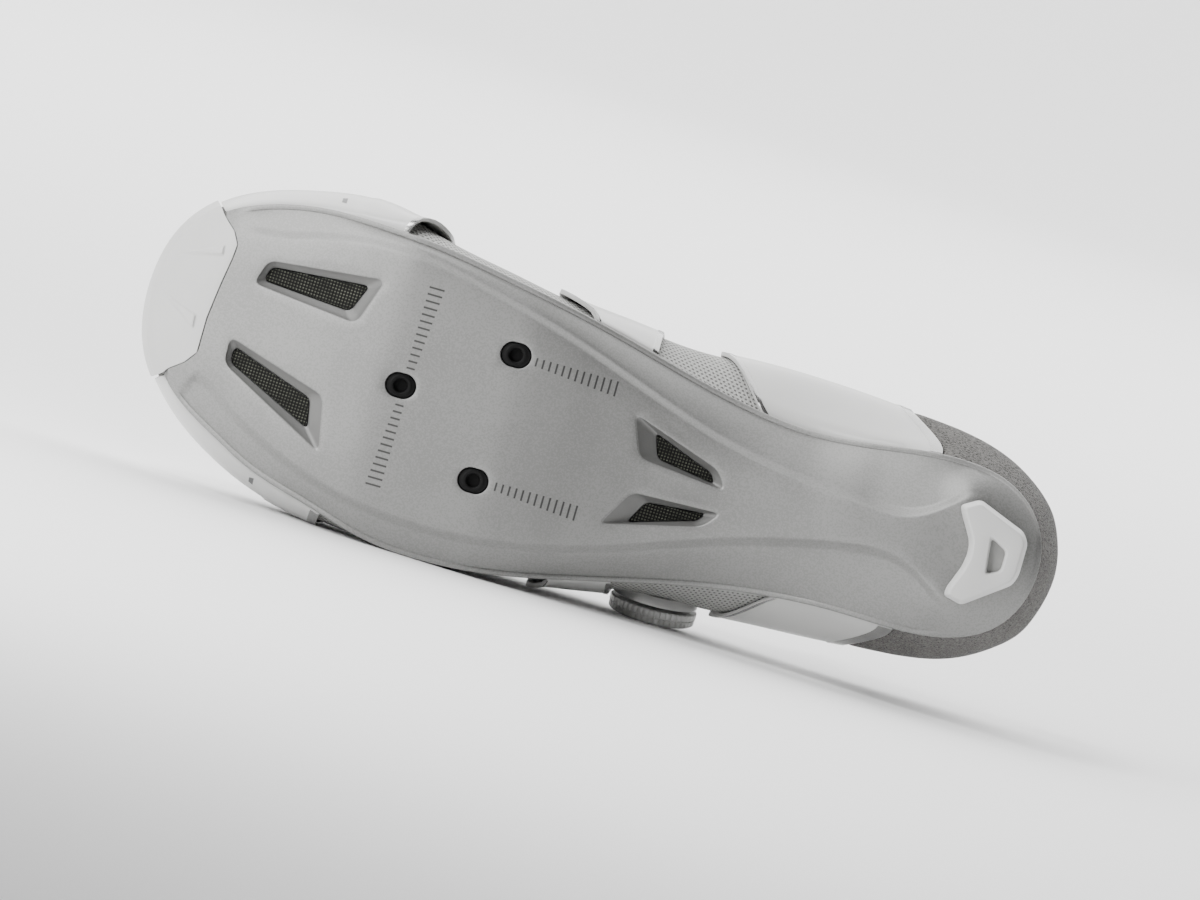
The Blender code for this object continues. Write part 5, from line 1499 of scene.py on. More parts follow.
@dataclass
class SolePlate:
    """The stiff plate: rim, side bands, stepped platform, four vents and three bolt slots."""

    last: Last
    bumper: ToeBumper
    rim_width: float = 1.4 * MM
    rim_step: float = 0.25 * MM
    step_depth: float = 2.2 * MM
    step_width: float = 2.4 * MM
    vent_corner: float = 2.7 * MM
    slot_long: float = 9.4 * MM
    slot_wide: float = 7.6 * MM
    grid: float = 2.3 * MM
    vent_lip: float = 0.35 * MM
    vent_walls: tuple = ((-0.01, 0.12), (0.07, 0.45), (0.45, 1.4), (0.88, 2.3), (1.0, 2.6))
    slot_walls: tuple = ((0.5, 0.0), (0.15, 0.1), (0.0, 0.4))

    def _rings(self, skin: Skin) -> tuple[list[int], list[int]]:
        """Adds the rings from the top edge round the rim to the platform.

        Args:
            skin: Where they go.

        Returns:
            The first ring, on top, and the last, on the platform.
        """
        last = self.last
        stations = np.arange(0, LOOP, 0.1)
        edge, platform = last.edge(stations), last.platform(stations)
        toward = platform - edge
        toward /= np.linalg.norm(toward, axis=1, keepdims=True)
        step = smooth_step(last.step_share(stations) * 2.5 - 0.75) * (1 - last.heel_share(platform))
        rim_up = last.edge_top(edge) - last.rim_thick
        foot = platform - toward * self.step_width
        foot_up = last.platform_height(platform) + self.step_depth
        groove_up = rim_up + self.rim_step
        rows = [
            (edge + toward * 0.5 * MM, last.edge_top(edge)),
            (edge + toward * 0.15 * MM, last.edge_top(edge) - 0.12 * MM),
            (edge, last.edge_top(edge) - 0.45 * MM),
            (edge, rim_up + 0.5 * MM),
            (edge + toward * 0.15 * MM, rim_up + 0.15 * MM),
            (edge + toward * 0.5 * MM, rim_up),
            (edge + toward * (self.rim_width - 0.1 * MM), rim_up),
            (edge + toward * (self.rim_width + 0.1 * MM), rim_up + 0.08 * MM),
            (edge + toward * (self.rim_width + self.rim_step), groove_up),
        ]
        groove = rows[-1][0]
        for t in np.linspace(0, 1, 9)[1:]:
            bow = 1.32 * t - 0.32 * t * t
            rows.append((groove + (foot - groove) * t, groove_up + (foot_up - groove_up) * bow))
        top = platform + toward * 1.2 * MM
        for t in np.linspace(0, 1, 10)[1:]:
            xy = foot + (top - foot) * t
            share = smooth_step(t**0.9)
            rows.append((xy, foot_up + (last.platform_height(xy) - foot_up) * share))
        made = []
        for number, (xy, up) in enumerate(rows):
            if number > 2:
                blend = step if number > 5 else np.ones(len(step))
                up = up * blend + last.rolled_height(xy) * (1 - blend) - last.swell(xy) * (number > 5)
            made.append(skin.add(np.column_stack([xy, up])))
        skin.strips(made)
        return made[0], made[-1]

    def underside(self, xy: np.ndarray) -> np.ndarray:
        """Height of the platform with its swellings.

        Args:
            xy: Plan points.

        Returns:
            Heights in metres.
        """
        last = self.last
        rounding = last.heel_share(xy) * (last.rolled_height(xy) - last.ground(xy[:, 0]))
        return last.platform_height(xy) + rounding - last.swell(xy)

    def build(self) -> bpy.types.Object:
        """Models it as one closed mesh and cuts the bumper's recess.

        Returns:
            The piece.
        """
        last, skin = self.last, Skin()
        top_ring, platform_ring = self._rings(skin)
        under, over = [], []
        for surface, mesh in VENTS.values():
            wide, narrow = rounded(scaled(surface), self.vent_corner), rounded(scaled(mesh), self.vent_corner * 0.7)
            lip = rounded(grown(scaled(surface), self.vent_lip), self.vent_corner * 1.12)
            rings = [skin.add(np.column_stack([lip, self.underside(lip)]))]
            for share, depth in self.vent_walls:
                xy = wide + (narrow - wide) * share
                rings.append(skin.add(np.column_stack([xy, last.platform_height(xy) + depth * MM])))
            rings.append(skin.add(np.column_stack([narrow, last.top_height(narrow)])))
            # From the third ring inward the walls take the second finish, the darker paint that stands for shade in
            # the vent's recess.
            skin.strips(rings, 2)
            under.append(rings[0])
            over.append(rings[-1])
        for name in SLOTS:
            rings = []
            for grow, depth in self.slot_walls:
                xy = slot_ring(name, self.slot_long + grow * MM, self.slot_wide + grow * MM)
                rings.append(skin.add(np.column_stack([xy, last.platform_height(xy) + depth * MM])))
            rings.append(skin.add(np.column_stack([xy, last.top_height(xy)])))
            skin.strips(rings)
            under.append(rings[0])
            over.append(rings[-1])
        plan = [skin.flat(ring) for ring in [platform_ring, *under]]
        inner = plan_grid(plan[0], plan[1:], self.grid, 1.1 * MM)
        skin.fill(platform_ring, under, inner, self.underside)
        plan = [skin.flat(ring) for ring in [top_ring, *over]]
        inner = plan_grid(plan[0], plan[1:], self.grid * 2, 1.5 * MM)
        skin.fill(top_ring, over, inner, last.top_height)
        plate = skin.piece("plate_form")
        cutter = self.bumper.recess()
        applied(plate, "BOOLEAN", operation="DIFFERENCE", solver="EXACT", object=cutter)
        bpy.data.objects.remove(cutter)
        return dressed(plate, [SOLE, VENT_WALL_SHADE], ["sole_plate"], sharp_deg=50)


@dataclass
class CleatInserts:
    """Black inserts in the bolt slots, each with a raised collar round its threaded hole."""

    last: Last
    long: float = 8.9 * MM
    wide: float = 7.1 * MM
    rings: tuple = (
        (1.0, 0.0, 3.2),
        (1.0, 0.0, 0.95),
        (0.97, 0.0, 0.72),
        (0.93, 0.0, 0.66),
        (0.0, 3.30, 0.66),
        (0.0, 3.18, 0.56),
        (0.0, 3.02, 0.52),
        (0.0, 2.42, 0.52),
        (0.0, 2.28, 0.58),
        (0.0, 2.15, 0.75),
    )
    count: int = 64
    thread_turns: int = 5
    thread_radius: float = 2.15
    thread_depth: float = 0.18
    thread_from: float = 0.9
    thread_step: float = 0.22

    def build(self) -> list[bpy.types.Object]:
        """Models one for each slot, from the same rings of share or radius in mm and depth in mm.

        Returns:
            The pieces.
        """
        made = []
        for name, (at, across) in SLOTS.items():
            centre = np.array([at * LENGTH, across * BALL_WIDTH])
            floor = self.last.platform_height(centre[None])[0]
            skin, rows = Skin(), []
            thread = [
                (0.0, self.thread_radius - self.thread_depth * (i % 2), self.thread_from + self.thread_step * i)
                for i in range(2 * self.thread_turns)
            ]
            for share, radius, depth in [*self.rings, *thread]:
                if share:
                    loop = centre + (slot_ring(name, self.long, self.wide, self.count) - centre) * share
                else:
                    turn = 2 * math.pi * (np.arange(self.count) + 0.5) / self.count
                    loop = centre + np.column_stack([np.cos(turn), np.sin(turn)]) * radius * MM
                rows.append(skin.add(np.column_stack([loop, np.full(self.count, floor + depth * MM)])))
            skin.strips(rows)
            skin.face(*rows[-1])
            skin.face(*rows[0])
            made.append(dressed(skin.piece(f"insert_form_{name}"), [BLACK], [f"cleat_insert_{name}"]))
        return made


@dataclass
class HeelPad:
    """Proud pale pad under the heel, its sides tapered, its window sunk."""

    last: Last
    plate: SolePlate
    height: float = 7.4 * MM
    taper: float = 1.3 * MM
    # share of the taper, share of the height, corner radius in mm; the first row lies on the plate
    sides: tuple = (
        (0.0, -2.0, 1.5),
        (0.0, 0.30, 1.5),
        (0.15, 0.55, 1.5),
        (0.75, 0.90, 1.4),
        (0.90, 0.965, 1.3),
        (1.10, 0.992, 1.25),
        (1.35, 1.0, 1.2),
    )
    # how far out from the window's corners and how deep, in mm
    window_sides: tuple = ((0.45, 0.0), (0.2, 0.06), (0.0, 0.3), (-0.35, 2.0), (-0.5, 2.6))

    def build(self) -> bpy.types.Object:
        """Models it from rings and a filled tread.

        Returns:
            The piece.
        """
        corners, skin, rows = scaled(PAD_CORNERS), Skin(), []
        back = float(self.last.ground(np.array(0.0))) - self.last.gap
        for inward, down, radius in self.sides:
            loop = rounded(grown(corners, -self.taper * inward), radius * MM)
            up = back - self.height * down if down > 0 else self.plate.underside(loop) - self.last.gap
            rows.append(skin.add(np.column_stack([loop, np.broadcast_to(up, len(loop))])))
        skin.strips(rows)
        frame_corners, sunk = scaled(PAD_WINDOW), []
        for grow, depth in self.window_sides:
            loop = rounded(grown(frame_corners, grow * MM), 1.5 * MM)
            up = back - self.height + depth * MM
            sunk.append(skin.add(np.column_stack([loop, np.full(len(loop), up)])))
        skin.strips(sunk, 3)
        skin.face(*sunk[-1], slot=1)
        inner = plan_grid(skin.flat(rows[0]), [], 2.5 * MM, 1.2 * MM)
        skin.fill(rows[0], [], inner, lambda xy: self.plate.underside(xy) - self.last.gap)
        skin.fill(rows[-1], [sunk[0]], np.empty((0, 2)), None)
        return dressed(skin.piece("pad_form"), [PAD, WINDOW], ["heel_pad"])


@dataclass
class UpperShell:
    """The hollow mesh upper with a lining, its collar padded inside."""

    last: Last
    wall: float = 2.0 * MM
    padding: float = 2.4 * MM
    padded_to: float = 8.0
    padded_level: float = 0.86
    padded_spread: float = 0.12
    edge_round: float = 0.5 * MM

    def build(self) -> bpy.types.Object:
        """Models outer cloth and lining as one closed wall, padded round the collar.

        Returns:
            The piece.
        """
        stations, levels = np.arange(0, LOOP, 0.16), np.linspace(0, 1, 42)
        grid = np.broadcast_arrays(stations[:, None], levels[None])
        rear = np.minimum(grid[0], LOOP - grid[0])
        pad = smooth_step((self.padded_to - rear) / 1.5)
        pad = pad * np.exp(-(((grid[1] - self.padded_level) / self.padded_spread) ** 2))
        skin = Skin()
        edge = self.edge_round * smooth_step((grid[1] - 0.95) / 0.05)
        outer = self.last.at(*grid, -edge)
        inner = self.last.at(*grid, edge * 0.4 - self.wall - self.padding * pad)
        skin.shell(outer, inner, True, (0, 1))
        piece = skin.piece("upper_form")
        softened(piece, 0.6 * MM, 3, 60)
        return dressed(piece, [CLOTH, LINING], ["upper"])


@dataclass
class Panel:
    """A smooth overlay wrapped on the upper with a silver strip along its ends."""

    last: Last
    name: str
    node: str
    film: Finish
    gap: float = 0.45 * MM
    wall: float = 1.0 * MM
    proud: float = 0.22 * MM
    start_trim_mm: float = 2.6
    end_trim_mm: float = 2.6

    def form(self, stations: np.ndarray, levels: np.ndarray, lift: np.ndarray | float) -> bpy.types.Object:
        """Models it over grids of stations and levels.

        Args:
            stations: Station of each point.
            levels: Level of each point.
            lift: Distance each point is raised.

        Returns:
            The dressed piece.
        """
        lift = np.broadcast_to(lift, stations.shape)
        base = self.last.at(stations, levels, self.gap + lift)
        run = np.linalg.norm(np.diff(base, axis=0), axis=2) / MM
        ahead = np.concatenate([np.zeros((1, run.shape[1])), np.cumsum(run, axis=0)])
        behind = ahead[-1:] - ahead
        near = np.maximum(
            (ahead.mean(axis=1) < self.start_trim_mm) * self.start_trim_mm,
            (behind.mean(axis=1) < self.end_trim_mm) * self.end_trim_mm,
        )
        raised = self.proud * (near > 0)[:, None]
        outer = self.last.at(stations, levels, self.gap + lift + self.wall + raised)
        skin = Skin()
        skin.shell(self.last.over_plate(outer), self.last.over_plate(base), False)
        skin.trim(near, stations.shape[1])
        piece = skin.piece(self.name)
        softened(piece, 0.35 * MM, 3, 60)
        return dressed(piece, [self.film, SILVER], [self.node])


def stepped(start: float, end: float, count: int, trims: tuple[float, float]) -> np.ndarray:
    """Shares from 0 to 1 with close pairs where the trims end.

    Args:
        start: First value.
        end: Last value.
        count: How many between.
        trims: Width of the first and the last trim, as shares.

    Returns:
        The values.
    """
    shares = list(np.linspace(0, 1, count))
    for trim in trims:
        if 0 < trim < 1:
            shares += [trim - 0.002, trim + 0.002]
    return start + (end - start) * np.unique(np.round(shares, 5))


def heel_line(levels: np.ndarray) -> np.ndarray:
    """Station where the heel cloth meets the quarters, leaning forward above the sole."""
    return 4.98 + 0.62 * smooth_step(levels / 0.28)


@dataclass
class Panels:
    """Toe panel and the two quarters."""

    last: Last
    bumper: ToeBumper
    low: float = 0.0
    toe_from: float = 13.62
    toe_to: float = LOOP - 13.75
    toe_top: float = 0.985
    toe_lift: float = 2.8 * MM
    toe_tail: float = 0.6
    notches: tuple[float, float] = (14.4, LOOP - 14.6)
    notch_lift: float = 0.35 * MM
    bumper_gap: float = 0.012
    quarter_top: float = 0.93
    quarter_medial: tuple[float, float] = (7.75, 8.62)
    quarter_lateral: tuple[float, float] = (6.85, 7.72)
    quarter_lift: float = 0.1 * MM
    quarter_trims: tuple[float, float] = (1.9, 4.8)

    def toe(self) -> bpy.types.Object:
        """The panel round the toe, its inner-side end lifted off the mesh.

        Returns:
            The piece.
        """
        stations = stepped(self.toe_from, self.toe_to, 180, (0.0155, 0.9845))
        close = np.linspace(-0.14, -0.02, 7)
        stations = np.unique(np.concatenate([stations, self.bumper.start + close, self.bumper.end - close]))
        beyond = np.minimum(stations - self.bumper.start, self.bumper.end - stations)
        over = self.bumper.reach_up(stations) + self.bumper_gap
        low = self.low + (over - self.low) * smooth_step(1 + (beyond + 0.03) / 0.08)
        share = np.linspace(0, 1, 34)
        levels = low[:, None] + (self.toe_top - low[:, None]) * share[None]
        grid = np.repeat(stations[:, None], len(share), axis=1)
        rear = np.clip(1 - (grid - self.toe_from) / 0.75, 0, 1) ** 2
        rise = smooth_step(levels / 0.3)
        lift = self.toe_lift * rear * smooth_step(levels / 0.09) * (1 - smooth_step((levels - 0.1) / 0.2))
        tail = np.clip(1 - (grid - self.toe_from) / 1.5, 0, 1) ** 1.5
        beside = np.maximum(self.notches[0] - grid, grid - self.notches[1])
        lift += self.notch_lift * smooth_step(1 + beside / 0.03)
        grid = grid - self.toe_tail * tail * rise
        panel = Panel(self.last, "toe_wrap", "toe_panel", NOTCH_SHADED_FILM, start_trim_mm=2.7, end_trim_mm=2.4)
        return panel.form(grid, levels, lift)

    def quarter(self, side: Side) -> bpy.types.Object:
        """Smooth panel from its curved front edge back to the heel cloth.

        Args:
            side: Which of the two.

        Returns:
            The piece.
        """
        low, high = self.quarter_medial if side is Side.MEDIAL else self.quarter_lateral
        levels = np.linspace(self.low, self.quarter_top, 34)
        front = low + (high - low) * np.clip(levels / 0.3, 0, 1) ** 0.8
        rear = heel_line(levels) + 0.03
        shares = stepped(0, 1, 60, (0.085, 0.965))
        stations = rear[None] + (front - rear)[None] * shares[:, None]
        end_trim, start_trim = self.quarter_trims
        if side is Side.LATERAL:
            stations, (start_trim, end_trim) = LOOP - stations[::-1], self.quarter_trims
        name, node = f"quarter_wrap_{side.value}", f"quarter_{side.value}"
        panel = Panel(self.last, name, node, FILM, start_trim_mm=start_trim, end_trim_mm=end_trim)
        return panel.form(stations, np.repeat(levels[None], len(shares), axis=0), self.quarter_lift)


def arch(start: np.ndarray, leave: np.ndarray, end: np.ndarray, arrive: np.ndarray, shares: np.ndarray) -> np.ndarray:
    """Cubic from one point to another, along a way out and a way in.

    Args:
        start: First point.
        leave: Way out of it.
        end: Last point.
        arrive: Way into it.
        shares: Places on the way, 0 to 1.

    Returns:
        Points on the curve.
    """
    s = shares[:, None]
    span = np.linalg.norm(end - start)
    first = start + leave / np.linalg.norm(leave) * span * 0.36
    second = end - arrive / np.linalg.norm(arrive) * span * 0.36
    return (1 - s) ** 3 * start + 3 * s * (1 - s) ** 2 * first + 3 * s * s * (1 - s) * second + s**3 * end


@dataclass
class Instep:
    """What crosses the instep: the midfoot strap and the tongue under it."""

    last: Last
    rows: int = 44
    bridge: int = 16
    cut_back: float = 0.72
    lift: float = 1.0 * MM
    strap_medial: tuple[float, float] = (9.55, 11.22)
    strap_lateral: tuple[float, float] = (9.28, 10.50)
    strap_trims: tuple[float, float] = (0.055, 0.945)
    strap_gap: float = 0.45 * MM
    strap_wall: float = 1.2 * MM
    trim_wall: float = 1.42 * MM
    upper_wall: float = 2.0 * MM
    tongue_from: float = 8.5
    tongue_to: float = 13.5
    tongue_level: float = 0.82
    tongue_gap: float = 0.8 * MM
    tongue_thick: float = 4.0 * MM
    tongue_rise: float = 31 * MM
    tongue_lean: float = 19 * MM
    tongue_curl: float = 4 * MM

    def across(
        self,
        medial: float | np.ndarray,
        lateral: float | np.ndarray,
        low: float,
        offset: float | np.ndarray,
        extra: float = 0.0,
    ) -> np.ndarray:
        """Points up the inner side, over the throat and down the outer side.

        Args:
            medial: Station on the inner side, one or a value a row.
            lateral: Station on the outer side, counted from the heel.
            low: Level where both ends start.
            offset: Distance off the upper's face, one or a value a row.
            extra: Rise of the part over the throat.

        Returns:
            Points in the shoe's frame.
        """
        up = np.linspace(low, 1, self.rows)
        offset = np.broadcast_to(offset, self.rows)
        inner = self.last.at(np.broadcast_to(medial, self.rows), up, offset)
        outer = self.last.at(LOOP - np.broadcast_to(lateral, self.rows)[::-1], up[::-1], offset[::-1])
        shares = np.linspace(0, 1, self.bridge + 2)[1:-1]
        span = arch(inner[-1], inner[-1] - inner[-2], outer[0], outer[1] - outer[0], shares)
        span[:, 2] += extra * np.sin(np.pi * shares)
        return np.vstack([inner, span, outer])

    def strap(self) -> bpy.types.Object:
        """The band from the sole's one side over the tongue to the other, silver along both edges.

        Returns:
            The piece.
        """
        medial, lateral = self.strap_medial, self.strap_lateral
        shares = stepped(0, 1, 30, self.strap_trims)
        outer, inner, trim = [], [], []
        up = np.linspace(0, 1, self.rows)
        rise = smooth_step(up / 0.22)
        for share in shares:
            back = self.cut_back * max(0.0, share - 0.4) ** 2 / 0.36 * (1 - rise)
            at = (
                medial[0] + (medial[1] - medial[0]) * share - back,
                lateral[0] + (lateral[1] - lateral[0]) * share - back * 0.4,
            )
            flap = smooth_step(up / 0.08) * (1 - smooth_step((up - 0.1) / 0.2))
            lift = self.strap_gap + self.lift * smooth_step((share - 0.62) / 0.38) * flap
            edge = not self.strap_trims[0] < share < self.strap_trims[1]
            wall = self.trim_wall if edge else self.strap_wall
            trim.append(edge)
            for face, offset in ((inner, lift), (outer, lift + wall)):
                face.append(self.last.over_plate(self.across(*at, 0.0, offset)))
        skin = Skin()
        skin.shell(np.array(outer), np.array(inner), False)
        skin.trim(trim, len(outer[0]))
        piece = skin.piece("strap_wrap")
        softened(piece, 0.35 * MM, 3, 60)
        return dressed(piece, [FILM, SILVER], ["midfoot_strap"])

    def tongue(self) -> bpy.types.Object:
        """Padded tongue: closes the throat's toe end, lies under its edges, then stands free and curls.

        Returns:
            The piece.
        """
        stations = np.linspace(self.tongue_from, self.tongue_to, 40)
        faces = []
        for depth in (0.0, self.tongue_thick):
            under = -(self.upper_wall + self.tongue_gap + depth)
            rows = [self.across(s, s, self.tongue_level, under, 0.4 * MM) for s in stations]
            back = rows[-1]
            heart = back[len(back) // 2]
            tip = self.last.at(LOOP / 2, 0.90, under)
            for share in np.linspace(0.08, 1, 12):
                row = back + (tip - heart) * share
                row[:, 1] = row[:, 1] + (heart - back)[:, 1] * 0.4 * share
                rows.append(row)
            first, middle, free = rows[0], rows[0].mean(axis=0), []
            shares = np.linspace(1.0, 0.06, 18)
            narrow = np.interp(shares, (0.0, 0.22, 0.5, 0.8, 1.0), (1.0, 0.56, 0.70, 0.68, 0.50))
            for share, width in zip(shares, narrow):
                row = middle + (first - middle) * (width, width, 1)
                away = (row - middle)[:, 1] / (BALL_WIDTH * 0.18)
                curl = self.tongue_curl * share * away**2
                row[:, 0] -= self.tongue_lean * share**0.85 + curl
                row[:, 2] += self.tongue_rise * share**1.15 - curl
                turned = smooth_step(share / 0.35) * (1 - 0.35 * share**4)
                row += np.array([-0.85, 0.0, 0.5]) * (depth * turned)
                free.append(row)
            faces.append(np.array(free + rows))
        skin = Skin()
        skin.shell(faces[0], faces[1], False)
        piece = skin.piece("tongue_pad")
        softened(piece, 1.4 * MM, 4, 60)
        dressed(piece, [PADDING], ["tongue"])
        return piece


@dataclass
class HeelCounter:
    """Grey napped cloth round the heel, between the quarters."""

    last: Last
    top: float = 0.955
    gap: float = 0.45 * MM
    wall: float = 1.0 * MM
    sink: float = 0.45 * MM
    puff: float = 0.95 * MM
    columns: int = 140
    rows: int = 60

    def build(self) -> bpy.types.Object:
        """Models it as a wall on the upper.

        Returns:
            The piece.
        """
        shares, levels = np.linspace(-1, 1, self.columns), np.linspace(0.0, self.top, self.rows)
        grid = shares[:, None] * heel_line(levels)[None], np.broadcast_to(levels, (self.columns, self.rows))
        round_off = np.sin(np.pi * grid[1] / self.top) * np.clip(8 - 8 * abs(shares), 0, 1)[:, None]
        puff = self.puff * round_off**0.5 - self.sink
        outer, inner = self.last.at(*grid, self.gap + self.wall + puff), self.last.at(*grid, self.gap)
        skin = Skin()
        skin.shell(self.last.over_plate(outer), self.last.over_plate(inner), False)
        piece = skin.piece("heel_cloth")
        softened(piece, 0.5 * MM, 3, 60)
        return dressed(piece, [HEEL_NAP], ["heel_counter"])


@dataclass
class LaceDial:
    """Knurled dial in two tiers on its seat, on the outer side."""

    last: Last
    station: float = LOOP - 8.58
    level: float = 0.37
    radius: float = 13.5 * MM
    ribs: int = 44
    rib_depth: float = 0.45 * MM
    count: int = 352
    seat_count: int = 96
    knob_from: float = 2.2 * MM
    # radius and height in mm
    seat_profile: tuple = ((12.4, -1.6), (13.1, 0.4), (13.2, 1.1), (13.0, 1.32), (12.4, 1.4), (12.0, 1.4))
    # share of the radius, height in mm, share of the ribs' depth
    knob_profile: tuple = (
        (0.93, 0.0, 0.0),
        (0.965, 0.05, 0.0),
        (0.985, 0.25, 0.5),
        (1.0, 0.45, 1.0),
        (1.0, 2.0, 1.0),
        (0.995, 2.15, 1.0),
        (0.955, 2.2, 0.0),
        (0.955, 2.45, 0.0),
        (0.99, 2.5, 1.0),
        (0.985, 3.9, 1.0),
        (0.96, 4.3, 0.6),
        (0.92, 4.6, 0.0),
        (0.86, 4.7, 0.0),
        (0.80, 4.66, 0.0),
        (0.78, 4.45, 0.0),
        (0.55, 4.35, 0.0),
        (0.18, 4.3, 0.0),
    )

    def _place(self) -> Matrix:
        """Where the dial's axis stands on the upper.

        Returns:
            Its place and turn.
        """
        seat = self.last.at(np.array(self.station), np.array(self.level), 0.0)
        out = self.last.at(np.array(self.station), np.array(self.level), 1.0) - seat
        turn = Vector(out).normalized().to_track_quat("Z", "Y").to_matrix()
        return Matrix.Translation(Vector(seat)) @ turn.to_4x4()

    def _turned(self, name: str, profile_rows: Sequence[tuple], count: int) -> bpy.types.Object:
        """A round piece from rows of radius, height and rib depth.

        Args:
            name: Its name.
            profile_rows: The rows.
            count: Points in a ring.

        Returns:
            The piece.
        """
        skin, rows, place = Skin(), [], np.array(self._place())
        turn = 2 * np.pi * np.arange(count) / count
        wave = np.abs(np.cos(turn * self.ribs / 2)) ** 0.6
        for radius, up, rib in profile_rows:
            r = radius - rib * (1 - wave)
            local = np.column_stack([r * np.cos(turn), r * np.sin(turn), np.full(count, up), np.ones(count)])
            rows.append(skin.add((local @ place.T)[:, :3]))
        skin.strips(rows)
        skin.face(*rows[0])
        skin.face(*rows[-1])
        return skin.piece(name)

    def build(self) -> list[bpy.types.Object]:
        """Models seat and dial.

        Returns:
            The pieces.
        """
        seat_rows = [(radius * MM, up * MM, 0.0) for radius, up in self.seat_profile]
        seat = self._turned("dial_seat", seat_rows, self.seat_count)
        knob_rows = []
        for share, up, rib in self.knob_profile:
            knob_rows.append((self.radius * share, self.knob_from + up * MM, self.rib_depth * rib))
        knob = self._turned("dial_ring", knob_rows, self.count)
        dressed(seat, [DIAL], ["dial_base"], 35)
        dressed(knob, [DIAL], ["dial_knob"], 35)
        return [seat, knob]


@dataclass
class Insole:
    """Cloth-topped insole on the plate."""

    last: Last
    thick: float = 3.0 * MM
    gap: float = 0.85 * MM
    inset: float = 3.2 * MM
    # how far in, in mm, and share of the thickness
    edge_rows: tuple = ((0.6, 0.0), (0.0, 0.2), (0.0, 0.7), (0.25, 0.92), (0.8, 1.0))

    def build(self) -> bpy.types.Object:
        """Models it as a slab with a rounded edge.

        Returns:
            The piece.
        """
        stations = np.arange(0, LOOP, 0.2)
        loop = self.last.edge(stations)
        normal = outward(self.last.edge, stations)
        loop = loop - normal * (self.last.feather_inset + self.inset)
        skin, rows = Skin(), []
        for inward, share in self.edge_rows:
            xy = loop - normal * inward * MM
            up = self.last.top_height(xy) + self.gap + self.thick * share
            rows.append(skin.add(np.column_stack([xy, up])))
        skin.strips(rows)
        for ring, share in ((rows[0], 0.0), (rows[-1], 1.0)):
            inner = plan_grid(skin.flat(ring), [], 4.5 * MM, 2 * MM)
            extra = self.gap + self.thick * share
            skin.fill(ring, [], inner, lambda xy, extra=extra: self.last.top_height(xy) + extra)
        return dressed(skin.piece("insole_bed"), [INSOLE], ["insole"])


@dataclass
class VentCloths:
    """The dark woven mesh behind the vents: its solids keep their shape and get a weave."""

    def build(self) -> None:
        """Dresses the four solids."""
        for name in VENTS:
            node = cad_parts[f"vent_mesh_{name}"]
            node.data.materials.clear()
            node.data.materials.append(VENT_CLOTH.material())


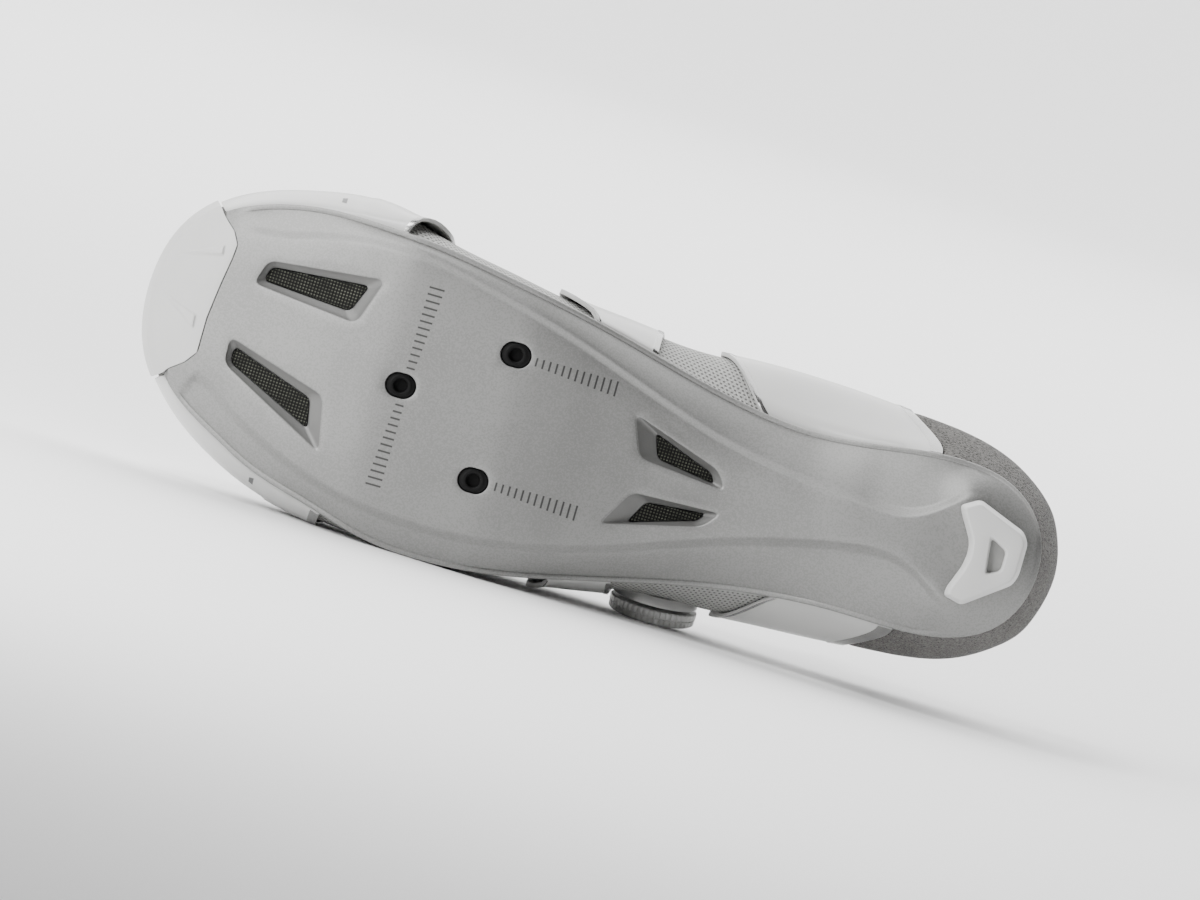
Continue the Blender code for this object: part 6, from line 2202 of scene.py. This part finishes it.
@dataclass
class Studio:
    """Pale floor and backdrop, soft lights and the camera."""

    focus: tuple[float, float, float] = (0.1396, -0.0008, 0.010)
    distance: float = 4.0
    frame_width: float = 0.360
    roll_deg: float = 16.0
    half_width: float = 7.0
    bend_from: float = 4.8
    bend: float = 1.2
    wall_height: float = 4.0
    world_strength: float = 0.06
    # name, place, target, size, power
    lights: tuple = (
        ("front", (-0.60, -0.52, 0.38), (0.0, 0.0, 0.05), (0.6, 0.45), 8.2),
        ("key", (-0.45, -0.40, 0.85), (0.0, 0.0, 0.05), (0.3, 0.3), 6),
        ("ceiling", (0.0, 2.6, 2.2), (0.0, 2.61, 0.0), (6.0, 5.0), 430),
    )

    def floor(self) -> None:
        """One sheet: floor, a wide curve, and a wall behind."""
        bend_from, bend = self.bend_from, self.bend
        outline = [(-self.half_width, 0.0), (bend_from, 0.0)]
        for turn in np.linspace(0.05, math.pi / 2, 24):
            outline.append((bend_from + math.sin(turn) * bend, bend - math.cos(turn) * bend))
        outline.append((bend_from + bend, self.wall_height))
        rows = [[(x, y, z) for x in (-self.half_width, self.half_width)] for y, z in outline]
        mesh = bpy.data.meshes.new("studio_floor")
        points = [p for row in rows for p in row]
        faces = [(2 * i, 2 * i + 1, 2 * i + 3, 2 * i + 2) for i in range(len(rows) - 1)]
        mesh.from_pydata(points, [], faces)
        obj = bpy.data.objects.new("studio_floor", mesh)
        bpy.context.scene.collection.objects.link(obj)
        only(obj)
        bpy.ops.object.shade_smooth()
        material = bpy.data.materials.new("studio_paper")
        material.use_nodes = True
        shader = material.node_tree.nodes["Principled BSDF"]
        shader.inputs["Base Color"].default_value = (0.93, 0.93, 0.93, 1)
        shader.inputs["Roughness"].default_value = 0.9
        obj.data.materials.append(material)

    def light(self, name: str, place: Vector, target: Vector, size: tuple[float, float], power: float) -> None:
        """A soft rectangular light aimed at a point.

        Args:
            name: Its name.
            place: Where it is.
            target: The point.
            size: Its width and height.
            power: Its power in watts.
        """
        lamp = bpy.data.lights.new(name, "AREA")
        lamp.shape = "RECTANGLE"
        lamp.energy, lamp.size, lamp.size_y = power, size[0], size[1]
        obj = bpy.data.objects.new(name, lamp)
        obj.location = place
        obj.rotation_euler = (target - place).to_track_quat("-Z", "Y").to_euler()
        bpy.context.scene.collection.objects.link(obj)

    def camera(self) -> None:
        """Camera square to the sole, rolled as in the photograph."""
        turn = REST.matrix()
        roll = math.radians(self.roll_deg)
        right = turn @ np.array([-math.cos(roll), math.sin(roll), 0.0])
        up = turn @ np.array([math.sin(roll), math.cos(roll), 0.0])
        back = turn @ np.array([0.0, 0.0, -1.0])
        place = REST.laid(np.array(self.focus)) + back * self.distance
        lens = bpy.data.cameras.new("photo_camera")
        lens.sensor_width = 36.0
        lens.lens = 36.0 * self.distance / self.frame_width
        lens.clip_end = 30
        obj = bpy.data.objects.new("photo_camera", lens)
        matrix = np.eye(4)
        matrix[:3, 0], matrix[:3, 1], matrix[:3, 2], matrix[:3, 3] = right, up, back, place
        obj.matrix_world = Matrix(matrix.tolist())
        bpy.context.scene.collection.objects.link(obj)
        bpy.context.scene.camera = obj

    def build(self) -> None:
        """Sets the whole stage."""
        self.floor()
        self.camera()
        world = bpy.data.worlds.new("studio_world")
        world.use_nodes = True
        world.node_tree.nodes["Background"].inputs["Color"].default_value = (1, 1, 1, 1)
        world.node_tree.nodes["Background"].inputs["Strength"].default_value = self.world_strength
        bpy.context.scene.world = world
        for name, place, target, size, power in self.lights:
            self.light(name, Vector(place), Vector(target), size, power)


def main() -> None:
    """Builds the shoe's sub-assemblies in order, then the studio."""
    logging.basicConfig(level=logging.INFO, format="%(name)s: %(message)s")
    last = Last()
    bumper = ToeBumper(last)
    plate = SolePlate(last, bumper)
    plate.build()
    bumper.build()
    CleatInserts(last).build()
    HeelPad(last, plate).build()
    VentCloths().build()
    UpperShell(last).build()
    panels = Panels(last, bumper)
    panels.toe()
    for side in Side:
        panels.quarter(side)
    instep = Instep(last)
    instep.strap()
    instep.tongue()
    HeelCounter(last).build()
    LaceDial(last).build()
    Insole(last).build()
    Studio().build()


if __name__ == "__main__":
    main()
